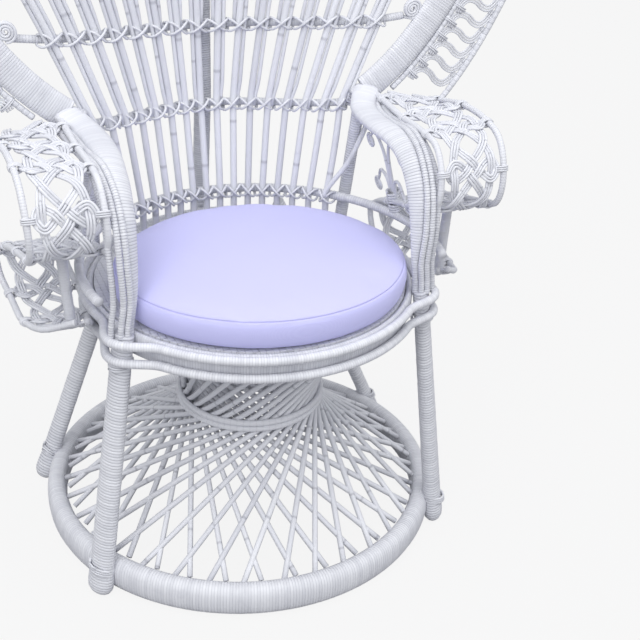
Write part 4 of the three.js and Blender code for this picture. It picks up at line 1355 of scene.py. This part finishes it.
def low_hoop(pitch, tie_r):
    """The lowest hoop, round the back and sides of the seat to the front posts."""
    radius = HOOP_ONE_R + HOOP_BACK
    last = math.asin((ARCH_FRONT_Y + HOOP_ONE_FORWARD) / radius)
    path = ring_path(radius, -HOOP_ONE_FORWARD, HOOP_ONE_HIGH, 400, start=last,
                     end=math.pi - last, loop=False)
    rng = np.random.default_rng(80)
    skins = [wound(path, HOOP_ROD_R, HOOP_ROD_R, Z_AXIS, pitch, sides=10, depth=0.3, tone=0.45,
                   seed=81)]
    for place in SPOKE_PLACES * SPOKE_PITCH_LOW:
        y = math.sqrt(HOOP_ONE_R**2 - place**2)
        out = np.array([place, y, 0.0]) / HOOP_ONE_R
        centre = out * radius + np.array([0, -HOOP_ONE_FORWARD, HOOP_ONE_HIGH])
        along = np.cross(Z_AXIS, out)
        reach = HOOP_ROD_R + 2 * SPOKE_R + 1.6 * tie_r
        half = SPOKE_PITCH_LOW * TIE_HALF_SHARE
        skins += cross_tie(centre, along, Z_AXIS, -out, half, HOOP_ROD_R + 2, reach,
                           HOOP_ROD_R + tie_r, tie_r, rng)
    return skins


def rear_brace(pitch):
    """A wound pole up the middle of the back, from under the seat to the fan's top."""
    behind = HOOP_BACK + HOOP_ROD_R + GAP + BRACE_R * math.cos(math.pi / 8)
    line = np.array([(0, BRACE_FOOT_Y, BRACE_FOOT_HIGH), (0, BRACE_FOOT_Y, LEG_TOP_HIGH),
                     (0, fan_middle_y(HOOP_HEIGHTS[0]) + behind, HOOP_HEIGHTS[0]),
                     (0, fan_middle_y(BRACE_TOP_HIGH) + behind, BRACE_TOP_HIGH)], float)
    path = sampled(line, np.linspace(0, runs(line)[-1], 200))
    return [wound(path, BRACE_R, BRACE_R, Y_AXIS, pitch, depth=0.4, tone=0.9, seed=90)]


# The cushion.

CUSHION_SECTION_SHARES = (
    (0.004, 0), (0.5, 0), (0.87, 0), (0.93, 0.012), (0.963, 0.06), (0.984, 0.15), (0.997, 0.3),
    (1, 0.42), (0.996, 0.54), (0.986, 0.64), (0.971, 0.7), (0.945, 0.75), (0.905, 0.795),
    (0.84, 0.84), (0.73, 0.885), (0.57, 0.93), (0.35, 0.972), (0.15, 0.995), (0.004, 1),
)
SEAM_LOW_SHARE = 0.04
SEAM_TOP_SHARE = 0.7
# Within a distance of a seam the section's rows stand closer together, by this many times.
SEAM_REACH = 7
SEAM_CROWD = 7
SEAM_INNER_X = 150
SECTION_POINTS = 2000
SOFTENING = 41


def cushion_rings(inset, section, spans):
    """An oval cushion: each ring is the ellipse of the seat times the section's width share,
    at the section's height share, drawn in on all sides by inset."""
    turn = -TURN * np.arange(spans) / spans
    wide, rise = section[:, :1], section[:, 1:]
    x = (CUSHION_HALF_WIDE - inset) * wide * np.cos(turn)
    y = (CUSHION_HALF_DEEP - inset) * wide * np.sin(turn) - CUSHION_FORWARD
    z = SEAT_TOP + GAP + inset + (CUSHION_HIGH - 2 * inset) * rise
    return np.stack([x, y, np.broadcast_to(z, x.shape)], -1)


def cushion_section(count):
    """The section's points, closer together near its two seams."""
    coarse = np.array(CUSHION_SECTION_SHARES, float)
    size = np.array([CUSHION_HALF_WIDE, CUSHION_HIGH], float)
    flat = coarse * size
    length = runs(flat)
    fine = np.linspace(0, length[-1], SECTION_POINTS)
    kernel = np.hanning(SOFTENING) / np.hanning(SOFTENING).sum()
    lines = (np.pad(np.interp(fine, length, column), SOFTENING // 2, "edge") for column in flat.T)
    soft = np.stack([np.convolve(line, kernel, "valid") for line in lines], -1)
    inner = 9 * (soft[:, 0] < SEAM_INNER_X)
    seams = [fine[np.argmin(np.abs(soft[:, 1] / CUSHION_HIGH - s) + inner)]
             for s in (SEAM_LOW_SHARE, SEAM_TOP_SHARE)]
    crowd = 1 + sum(SEAM_CROWD * np.exp(-(((fine - s) / SEAM_REACH) ** 2)) for s in seams)
    sum_crowd = np.cumsum(crowd) / crowd.sum()
    spots = np.interp(np.linspace(0, 1, count), sum_crowd, fine)
    section = np.stack([np.interp(spots, fine, soft[:, k]) for k in (0, 1)], -1) / size
    section[0], section[-1] = coarse[0], coarse[-1]
    dips = sum(np.exp(-(((spots - s) / 1.0) ** 2)) for s in seams)
    return section, dips


def worked_out(piece):
    """Gives a piece the mesh that its modifiers make, and clears them."""
    graph = bpy.context.evaluated_depsgraph_get()
    graph.update()
    mesh = bpy.data.meshes.new_from_object(piece.evaluated_get(graph))
    piece.modifiers.clear()
    old = piece.data
    piece.data = mesh
    bpy.data.meshes.remove(old)


def points_of(mesh):
    """A mesh's points as an array."""
    co = np.empty(len(mesh.vertices) * 3, np.float32)
    mesh.vertices.foreach_get("co", co)
    return co.reshape(-1, 3).astype(float)


def put_points(mesh, points):
    """Moves a mesh's points."""
    mesh.vertices.foreach_set("co", points.astype(np.float32).ravel())
    mesh.update()


CLOTH_SETTINGS = (
    ("quality", 6), ("mass", 0.25), ("tension_stiffness", 30), ("compression_stiffness", 30),
    ("shear_stiffness", 15), ("bending_stiffness", 4), ("use_pressure", True),
)


def inflate(piece, pressure, cap):
    """Fills a closed bag of cloth: evenly remeshed, blown up frame by frame with no gravity,
    and no point moved further than cap."""
    remesh = piece.modifiers.new("Even", "REMESH")
    remesh.mode = "VOXEL"
    remesh.voxel_size = BAG_GRAIN
    worked_out(piece)
    start = points_of(piece.data)
    settings = piece.modifiers.new("Filling", "CLOTH").settings
    for word, number in CLOTH_SETTINGS:
        setattr(settings, word, number)
    settings.uniform_pressure_force = pressure
    settings.effector_weights.gravity = 0
    scene = bpy.context.scene
    for step in range(1, FILLING_FRAMES + 1):
        scene.frame_set(step)
    graph = bpy.context.evaluated_depsgraph_get()
    moved = bpy.data.meshes.new_from_object(piece.evaluated_get(graph))
    piece.modifiers.clear()
    scene.frame_set(1)
    shift = points_of(moved) - start
    size = np.linalg.norm(shift, axis=1, keepdims=True)
    put_points(piece.data, start + shift * np.minimum(1, cap / np.maximum(size, 1e-9)))
    bpy.data.meshes.remove(moved)


def cushion(pressure, cap, seam_deep):
    """A boxed round cushion: the bag is filled by the cloth solver, an orderly grid of rings
    is drawn onto it, and the rings at the two seams are pulled in by seam_deep times the bell
    curve of their distance from the seam."""
    section, dips = cushion_section(CUSHION_ROWS)

    def boxed(name, inset, rows, spans):
        """An oval cushion's mesh from rows of the section."""
        rings = cushion_rings(inset, rows, spans)
        return mesh_from(name, [Skin(rings, False, rows[:, 0], 0.5, rows[:, 0])])

    bag = boxed("cushion_bag", BAG_INSET, section[::2], BAG_SPANS)
    inflate(bag, pressure, cap)
    made = boxed("cushion", 0.0, section, CUSHION_SPANS)
    wrap = made.modifiers.new("Fit", "SHRINKWRAP")
    wrap.wrap_method = "NEAREST_SURFACEPOINT"
    wrap.target = bag
    worked_out(made)
    bpy.data.objects.remove(bag)
    points = points_of(made.data)
    dip = np.repeat(dips, CUSHION_SPANS)
    middle = (SEAT_TOP + CUSHION_MIDDLE_HIGH) * MM
    out = np.stack([points[:, 0] / CUSHION_HALF_WIDE**2,
                    (points[:, 1] + CUSHION_FORWARD * MM) / CUSHION_HALF_DEEP**2,
                    np.zeros(len(points))], -1)
    out = unit(out) + np.where(points[:, 2:] > middle, 0.5, -0.2) * Z_AXIS
    points -= unit(out) * (dip * seam_deep)[:, None]
    reach = np.hypot(points[:, 0] / CUSHION_HALF_WIDE,
                     (points[:, 1] + CUSHION_FORWARD * MM) / CUSHION_HALF_DEEP) / MM
    hold = np.minimum(1, 1 / np.maximum(reach, 1e-9))
    points[:, 0] *= hold
    points[:, 1] = (points[:, 1] + CUSHION_FORWARD * MM) * hold - CUSHION_FORWARD * MM
    points[:, 2] = np.clip(points[:, 2], (SEAT_TOP + GAP) * MM, (SEAT_TOP + CUSHION_HIGH + 1) * MM)
    put_points(made.data, points)
    keep_numbers(made.data, "seam", np.clip(dip, 0, 1))
    fine = made.modifiers.new("Fine", "SUBSURF")
    fine.levels = fine.render_levels = 1
    worked_out(made)
    return made


def zip_strip():
    """A flat tape round the back of the cushion, its row of teeth and a small puller."""
    z = SEAT_TOP + GAP + CUSHION_HIGH * ZIP_HIGH_SHARE
    turn = TURN / 4 + np.linspace(-1, 1, 80) * TURN * ZIP_HALF_ANGLE_SHARE

    def line(out):
        """The back of the cushion's outline, moved outwards by a distance."""
        return np.stack([(CUSHION_HALF_WIDE + out) * np.cos(turn),
                         (CUSHION_HALF_DEEP + out) * np.sin(turn) - CUSHION_FORWARD,
                         np.full(len(turn), z)], -1)

    tape = skin(line(0.1), 0.7, ZIP_HALF_HIGH, Z_AXIS, sides=10, power=4.0, tone=0.3)
    teeth = wound(line(0.7), 0.9, 1.5, Z_AXIS, ZIP_TOOTH_PITCH, sides=8, power=3.0, depth=0.55,
                  tone=0.7, seed=95)
    end = line(1.8)[4]
    drop = np.stack([end + np.array([0, 0.4, -k]) for k in (0.0, 4.0, 9.0, 14.0)])
    puller = skin(drop, 0.7, np.array([2.6, 2.2, 1.8, 2.2]), X_AXIS, power=3.0, tone=0.9)
    return [tape, teeth, puller]


# Values that a user may change.


def size_of(name, words, default):
    """A length in metres."""
    return bpy.props.FloatProperty(name=name, description=words, default=default, min=0.0,
                                   precision=4, subtype="DISTANCE", unit="LENGTH")


def colour_of(name, words, default):
    """A colour, given as it is seen and kept scene-linear."""
    return bpy.props.FloatVectorProperty(name=name, description=words, default=linear(default),
                                         size=3, min=0.0, max=1.0, subtype="COLOR")


def power_of(name, words, default):
    """A lamp's power."""
    return bpy.props.FloatProperty(name=name, description=words, default=default, min=0.0,
                                   unit="POWER")


class PEACOCK_Winding(bpy.types.PropertyGroup):
    """Widths of the flat cane wound round each kind of pole"""

    hoop: size_of("Base hoop", "Width of one winding on the base hoop", 0.004)
    leg: size_of("Legs", "Width of one winding on the legs", 0.0045)
    seat: size_of("Seat rods", "Width of one winding on the seat rods and their apron", 0.0035)
    arm: size_of("Arm posts", "Width of one winding on the arm posts", 0.004)
    rib: size_of("Thin rods", "Width of one winding on the arm binding and armrest rims", 0.0037)
    band: size_of("Fan band", "Width of one winding on the fan's band", 0.0037)
    border: size_of("Border rods", "Distance of the rings on the fan's border rods", 0.009)
    rod: size_of("Fan hoops", "Width of one winding on the fan's hoops", 0.004)
    brace: size_of("Rear brace", "Width of one winding on the rear brace", 0.0034)


class PEACOCK_Canes(bpy.types.PropertyGroup):
    """Radii of the bare canes"""

    base: size_of("Base canes", "Radius of the crossing canes of the base", 0.004)
    thin: size_of("Thin fan canes", "Radius of the thin canes beside the fan's spokes", 0.003)
    tie: size_of("Ties", "Radius of the canes tied over the hoops", 0.0019)
    curl: size_of("Hoop spirals", "Radius of the cane in the spirals at the hoops' ends", 0.0022)
    arm_strand: size_of("Armrest strands", "Radius of the strands of the armrests", 0.0019)
    lace_strand: size_of("Lace strands", "Radius of the strands of the fan's lace", 0.0016)


class PEACOCK_Paint(bpy.types.PropertyGroup):
    """Colours of the painted cane"""

    paint: colour_of("Paint", "White paint where it is clean", (0.895, 0.90, 0.922))
    shade: colour_of("Thin paint", "Paint where it is thin or rubbed", (0.745, 0.752, 0.788))
    # Painted shade for the grooves and gaps, and also the colour of a knot's darker ring.
    knot_and_groove_shade: colour_of("Grooves", "Paint in the grooves between windings", (0.50, 0.505, 0.55))


class PEACOCK_Cushion(bpy.types.PropertyGroup):
    """The loose cushion"""

    cloth: colour_of("Cloth", "Colour of the cotton", (0.79, 0.79, 0.965))
    # Painted shade for the seams' creases, and also the darker threads of the weave.
    seam_shade_and_thread: colour_of("Seam", "Colour in the seams", (0.62, 0.61, 0.86))
    tape: colour_of("Zip", "Colour of the zip", (0.66, 0.65, 0.86))
    pressure: bpy.props.FloatProperty(
        name="Filling", description="Pressure that fills the cushion", default=4.0, min=0.0)
    swell: size_of("Swell", "Furthest that the filling moves the cloth", 0.0018)
    seam_deep: size_of("Seam depth", "How far the seams are drawn in", 0.0008)


class PEACOCK_Stage(bpy.types.PropertyGroup):
    """Floor and light"""

    floor: colour_of("Floor", "Colour of the floor", (0.62, 0.62, 0.63))
    white: bpy.props.FloatProperty(
        name="Whiteness", description="Share of pure white in the floor as the camera sees it",
        default=0.88, min=0.0, max=1.0)
    ambient: bpy.props.FloatProperty(
        name="Sky", description="Strength of the light from all round", default=0.76, min=0.0)
    key: power_of("Main light", "Power of the main lamp", 70.0)
    fill: power_of("Second light", "Power of the second lamp", 18.0)
    top: power_of("Top light", "Power of the lamp overhead", 50.0)


GROUPS = (PEACOCK_Winding, PEACOCK_Canes, PEACOCK_Paint, PEACOCK_Cushion, PEACOCK_Stage)
WORDS = ("winding", "canes", "paint", "cushion", "stage")


def values(word):
    """One group of values of this chair."""
    return getattr(bpy.context.scene, "peacock_" + word)


def long_mm(word, name):
    """One of this chair's lengths, in millimetres."""
    return getattr(values(word), name) / MM


# The function that makes each material. A winding's numbers are how dark the painted shade in
# its grooves is, how deep they are in metres, and how much paint is rubbed off.
FINISHES = {
    "hoop_winding": (winding_finish, 0.3, 0.0003, 0.3),
    "light_winding": (winding_finish, 0.26, 0.00025, 0.25),
    "deep_winding": (winding_finish, 0.58, 0.00045, 0.25),
    "bare_cane": (cane_finish,),
    "deck_weave": (deck_finish,),
    "cotton": (cloth_finish,),
    "zip_tape": (zip_finish,),
}


def finish(word):
    """A material by its name, made when it is first asked for."""
    make, *numbers = FINISHES[word]
    return bpy.data.materials.get(word) or make(word, *numbers)


def put(name, skins, word, slot, *nodes):
    """A piece of the frame from its skins, with its finish by name."""
    return fit(mesh_from(name, skins), finish(word), slot, *nodes)


# One operator for each piece or group of like pieces.


class PEACOCK_OT_base(bpy.types.Operator):
    """Make the base hoop, the crossing canes and the waist ring"""

    bl_idname = "peacock.base"
    bl_label = "Base"
    bl_options = {"REGISTER", "UNDO"}

    def execute(self, context):
        """The hourglass on its hoop."""
        put("base_hoop_wound", base_hoop(long_mm("winding", "hoop")), "hoop_winding",
            "wrapped_cane", "base_hoop")
        r = long_mm("canes", "base")
        outer = crossing_canes(OUTER_FOOT_R, OUTER_WAIST_R, OUTER_TOP_R, 1, r, 1)
        inner = crossing_canes(INNER_FOOT_R, INNER_WAIST_R, INNER_TOP_R, -1, r, 2)
        put("hourglass_outer_canes", outer, "bare_cane", "painted_cane", "hourglass_outer")
        put("hourglass_inner_canes", inner, "bare_cane", "painted_cane", "hourglass_inner")
        put("waist_ring_tied", waist_ring(), "bare_cane", "painted_cane", "waist_ring")
        return {"FINISHED"}


class PEACOCK_OT_seat(bpy.types.Operator):
    """Make the seat's rods and apron, and finish its deck"""

    bl_idname = "peacock.seat"
    bl_label = "Seat"
    bl_options = {"REGISTER", "UNDO"}

    def execute(self, context):
        """Rods round a woven deck."""
        pitch = long_mm("winding", "seat")
        for word, high, seed in (("lower", LOWER_ROD_HIGH, 6), ("upper", UPPER_ROD_HIGH, 7)):
            put("seat_rod_%s_wound" % word, seat_rod(high, pitch, seed), "light_winding",
                "painted_cane", "seat_rod_" + word)
        put("seat_apron_wound", seat_apron(pitch), "light_winding", "painted_cane", "seat_apron")
        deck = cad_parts["seat_deck"]
        deck.data.materials.clear()
        deck.data.materials.append(finish("deck_weave"))
        return {"FINISHED"}


class PEACOCK_OT_legs(bpy.types.Operator):
    """Make the four wound legs"""

    bl_idname = "peacock.legs"
    bl_label = "Legs"
    bl_options = {"REGISTER", "UNDO"}

    def execute(self, context):
        """Two front and two rear legs."""
        pitch = long_mm("winding", "leg")
        kinds = (("front", FRONT_FOOT, FRONT_TOP, FRONT_LEG_FOOT_R, FRONT_LEG_TOP_R, 9),
                 ("rear", REAR_FOOT, REAR_TOP, REAR_LEG_FOOT_R, REAR_LEG_TOP_R, 12))
        for word, side in SIDES:
            for kind, foot, top, foot_r, top_r, seed in kinds:
                made = leg((side * foot[0], foot[1]), (side * top[0], top[1]), foot_r, top_r,
                           pitch, seed + side)
                put("leg_%s_wound_%s" % (kind, word), made, "deep_winding", "wrapped_cane",
                    "leg_%s_%s" % (kind, word))
        return {"FINISHED"}


class PEACOCK_OT_arms(bpy.types.Operator):
    """Make the arms' arches, their binding and their rear posts"""

    bl_idname = "peacock.arms"
    bl_label = "Arms"
    bl_options = {"REGISTER", "UNDO"}

    def execute(self, context):
        """An arch each side."""
        pitch = long_mm("winding", "arm")
        for word, side in SIDES:
            put("arm_arch_wound_" + word, arm_arch(side, pitch), "deep_winding",
                "wrapped_cane", "arm_arch_" + word)
            put("arm_binding_rods_" + word, arm_binding(side, long_mm("winding", "rib")),
                "deep_winding", "painted_cane", "arm_binding_" + word)
            put("arm_rear_post_wound_" + word, arm_rear_post(side, pitch), "deep_winding",
                "wrapped_cane", "arm_rear_post_" + word)
        return {"FINISHED"}


class PEACOCK_OT_armrests(bpy.types.Operator):
    """Weave the scrolled armrests"""

    bl_idname = "peacock.armrests"
    bl_label = "Armrests"
    bl_options = {"REGISTER", "UNDO"}

    def execute(self, context):
        """A knotted weave each side."""
        for word, side in SIDES:
            made = arm_weave(side, long_mm("canes", "arm_strand"), long_mm("winding", "rib"))
            put("armrest_knots_" + word, made, "bare_cane", "painted_cane", "arm_weave_" + word)
        return {"FINISHED"}


class PEACOCK_OT_scrollwork(bpy.types.Operator):
    """Make the curled canes inside the arms"""

    bl_idname = "peacock.scrollwork"
    bl_label = "Scrollwork"
    bl_options = {"REGISTER", "UNDO"}

    def execute(self, context):
        """Four curls each side."""
        for word, side in SIDES:
            put("arm_curls_" + word, arm_scroll(side), "bare_cane", "painted_cane",
                "arm_scroll_" + word)
        return {"FINISHED"}


class PEACOCK_OT_hoops(bpy.types.Operator):
    """Make the fan's hoops with their spirals and ties"""

    bl_idname = "peacock.hoops"
    bl_label = "Fan hoops"
    bl_options = {"REGISTER", "UNDO"}

    def execute(self, context):
        """One low hoop and four across the fan."""
        pitch, tie = long_mm("winding", "rod"), long_mm("canes", "tie")
        put("hoop_1_tied", low_hoop(pitch, tie), "light_winding", "painted_cane", "hoop_1")
        for k in range(len(HOOP_HEIGHTS)):
            put("hoop_%d_tied" % (k + 2), fan_hoop(k, pitch, tie, long_mm("canes", "curl")),
                "light_winding", "painted_cane", "hoop_%d" % (k + 2))
        return {"FINISHED"}


class PEACOCK_OT_spokes(bpy.types.Operator):
    """Make the fan's spokes"""

    bl_idname = "peacock.spokes"
    bl_label = "Spokes"
    bl_options = {"REGISTER", "UNDO"}

    def execute(self, context):
        """Sixteen canes with thinner ones beside them."""
        for k, place in enumerate(SPOKE_PLACES):
            put("spoke_canes_%02d" % (k + 1), spoke(place, long_mm("canes", "thin")),
                "bare_cane", "painted_cane", "spoke_%02d" % (k + 1))
        return {"FINISHED"}


class PEACOCK_OT_border(bpy.types.Operator):
    """Make the fan's band, its two rods and the lace between them"""

    bl_idname = "peacock.border"
    bl_label = "Fan border"
    bl_options = {"REGISTER", "UNDO"}

    def execute(self, context):
        """The border round the fan."""
        put("fan_band_wound", fan_band(long_mm("winding", "band")), "light_winding",
            "wrapped_cane", "fan_band")
        rings = long_mm("winding", "border")
        for word, radius, foot, seed in (("inner", FAN_INNER_R, INNER_ROD_FOOT_HIGH, 51),
                                         ("outer", FAN_OUTER_R, OUTER_ROD_FOOT_HIGH, 52)):
            put("fan_rod_%s_ringed" % word, fan_rod(radius, foot, rings, seed), "light_winding",
                "painted_cane", "fan_rod_" + word)
        for layer, word in enumerate(("front", "back")):
            put("fan_knots_" + word, fan_lace(long_mm("canes", "lace_strand"), layer),
                "bare_cane", "painted_cane", "fan_lace_" + word)
        return {"FINISHED"}


class PEACOCK_OT_brace(bpy.types.Operator):
    """Make the pole up the middle of the back"""

    bl_idname = "peacock.brace"
    bl_label = "Rear brace"
    bl_options = {"REGISTER", "UNDO"}

    def execute(self, context):
        """One wound pole."""
        put("rear_brace_wound", rear_brace(long_mm("winding", "brace")), "deep_winding",
            "wrapped_cane", "rear_brace")
        return {"FINISHED"}


class PEACOCK_OT_cushion(bpy.types.Operator):
    """Make the loose cushion and its zip"""

    bl_idname = "peacock.cushion"
    bl_label = "Cushion"
    bl_options = {"REGISTER", "UNDO"}

    def execute(self, context):
        """A filled cover with seams, closed by a zip at the back."""
        look = values("cushion")
        made = cushion(look.pressure, look.swell, look.seam_deep)
        fit(made, finish("cotton"), "cushion_fabric", "cushion_cover", "cushion_foam",
            body="cushion")
        strip = mesh_from("zip_strip", zip_strip())
        fit(strip, finish("zip_tape"), "zip", "cushion_zip", body="cushion")
        return {"FINISHED"}


# The camera's place in metres, its angles in degrees, its lens and sensor in millimetres.
CAMERA_PLACE = (-0.47462, -1.4097, 1.12925)
CAMERA_YAW = 22.98
CAMERA_DROP = 28.97
CAMERA_ROLL = 2.82
CAMERA_LENS = 65.24
CAMERA_SENSOR = 36
CAMERA_REACH = 60
# The floor's half-width and height, and the point that the lamps face, in metres.
FLOOR_HALF = 9.0
FLOOR_HIGH = -0.0008
LIT_PLACE = (0, 0, 0.7)
# Each lamp's name, place and size in metres, and the value that holds its power.
LAMPS = (
    ("main_lamp", (-2.4, -3.0, 3.4), 2.6, "key"),
    ("second_lamp", (3.2, -1.6, 2.2), 2.4, "fill"),
    ("top_lamp", (-0.3, -0.9, 3.6), 2.8, "top"),
)


def camera_turn():
    """The camera's axes: forward from yaw and drop, and its sides turned about it by roll."""
    yaw, drop, roll = (math.radians(v) for v in (CAMERA_YAW, CAMERA_DROP, CAMERA_ROLL))
    level = Vector((math.cos(yaw), -math.sin(yaw), 0))
    ahead = Vector((math.sin(yaw) * math.cos(drop), math.cos(yaw) * math.cos(drop),
                    -math.sin(drop)))
    over = level.cross(ahead)
    right = math.cos(roll) * level + math.sin(roll) * over
    up = math.cos(roll) * over - math.sin(roll) * level
    return Matrix((right, up, -ahead)).transposed()


class PEACOCK_OT_stage(bpy.types.Operator):
    """Make the floor, the light and the camera"""

    bl_idname = "peacock.stage"
    bl_label = "Stage"
    bl_options = {"REGISTER", "UNDO"}

    def execute(self, context):
        """A pale floor under soft light."""
        scene = bpy.context.scene
        scene.view_settings.view_transform = "Standard"
        self.camera(scene)
        self.floor()
        self.sky(scene)
        for name, place, size, word in LAMPS:
            self.lamp(name, place, size, getattr(values("stage"), word))
        return {"FINISHED"}

    def camera(self, scene):
        """The camera in front of the chair and to one side, looking down."""
        lens = bpy.data.cameras.new("camera")
        lens.lens = CAMERA_LENS
        lens.sensor_width = CAMERA_SENSOR
        lens.clip_end = CAMERA_REACH
        made = link("camera", lens)
        made.matrix_world = Matrix.Translation(CAMERA_PLACE) @ camera_turn().to_4x4()
        scene.camera = made

    def floor(self):
        """A wide level sheet just under the feet."""
        corners = [(x * FLOOR_HALF, y * FLOOR_HALF, FLOOR_HIGH)
                   for x, y in ((-1, -1), (1, -1), (1, 1), (-1, 1))]
        mesh = bpy.data.meshes.new("floor")
        mesh.from_pydata(corners, [], [(0, 1, 2, 3)])
        f = Finish("floor_paint", 0.9)
        tint = f.noise(2.0, 2.0, 0.5)
        pale = tuple(values("stage").floor)
        f.colour(f.blend(tint * 0.1, pale, tuple(0.985 * c for c in pale)))
        ray = Value(f, f.node("ShaderNodeLightPath").outputs["Is Camera Ray"])
        glow = f.value("ShaderNodeEmission", {}, {"Color": (1.0, 1.0, 1.0), "Strength": 1.0})
        body = Value(f, f.shader.outputs[0])
        white = ray * values("stage").white
        mixed = f.value("ShaderNodeMixShader", {}, {0: white, 1: body, 2: glow})
        f.tree.links.new(mixed.socket, f.tree.nodes["Material Output"].inputs["Surface"])
        floor = link("floor", mesh)
        floor.data.materials.append(f.material)

    def sky(self, scene):
        """Even light from all round, seen as white."""
        world = bpy.data.worlds.new("studio")
        world.use_nodes = True
        tree = world.node_tree
        tree.nodes.clear()
        out = tree.nodes.new("ShaderNodeOutputWorld")
        seen, cast = tree.nodes.new("ShaderNodeBackground"), tree.nodes.new("ShaderNodeBackground")
        seen.inputs[0].default_value = (1, 1, 1, 1)
        cast.inputs[0].default_value = (0.97, 0.98, 1, 1)
        cast.inputs[1].default_value = values("stage").ambient
        path = tree.nodes.new("ShaderNodeLightPath")
        mixed = tree.nodes.new("ShaderNodeMixShader")
        tree.links.new(path.outputs["Is Camera Ray"], mixed.inputs[0])
        tree.links.new(cast.outputs[0], mixed.inputs[1])
        tree.links.new(seen.outputs[0], mixed.inputs[2])
        tree.links.new(mixed.outputs[0], out.inputs[0])
        scene.world = world

    def lamp(self, name, place, size, power):
        """A square soft lamp that faces the chair."""
        data = bpy.data.lights.new(name, "AREA")
        data.energy = power
        data.size = size
        made = link(name, data)
        turn = (Vector(LIT_PLACE) - Vector(place)).to_track_quat("-Z", "Y").to_matrix().to_4x4()
        made.matrix_world = Matrix.Translation(place) @ turn


STEPS = (
    PEACOCK_OT_stage, PEACOCK_OT_base, PEACOCK_OT_seat, PEACOCK_OT_legs, PEACOCK_OT_arms,
    PEACOCK_OT_armrests, PEACOCK_OT_scrollwork, PEACOCK_OT_hoops, PEACOCK_OT_spokes,
    PEACOCK_OT_border, PEACOCK_OT_brace, PEACOCK_OT_cushion,
)


class PEACOCK_PT_panel(bpy.types.Panel):
    """Lists the chair's pieces and values"""

    bl_idname = "PEACOCK_PT_panel"
    bl_label = "Peacock chair"
    bl_space_type = "VIEW_3D"
    bl_region_type = "UI"
    bl_category = "Peacock chair"

    def draw(self, context):
        """A button for each piece, then the values."""
        for step in STEPS:
            self.layout.operator(step.bl_idname)
        for word, group in zip(WORDS, GROUPS):
            box = self.layout.box()
            box.label(text=word.capitalize())
            for name in group.__annotations__:
                box.prop(getattr(context.scene, "peacock_" + word), name)


CLASSES = (*GROUPS, *STEPS, PEACOCK_PT_panel)


def register():
    """Adds the classes and the values."""
    for one in CLASSES:
        bpy.utils.register_class(one)
    for word, group in zip(WORDS, GROUPS):
        setattr(bpy.types.Scene, "peacock_" + word, bpy.props.PointerProperty(type=group))


def unregister():
    """Takes the classes and the values away."""
    for word in WORDS:
        delattr(bpy.types.Scene, "peacock_" + word)
    for one in reversed(CLASSES):
        bpy.utils.unregister_class(one)


def main():
    """Registers the add-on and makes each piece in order."""
    register()
    for step in STEPS:
        group, word = step.bl_idname.split(".")
        getattr(getattr(bpy.ops, group), word)()
    bpy.context.view_layer.update()


if __name__ == "__main__":
    main()
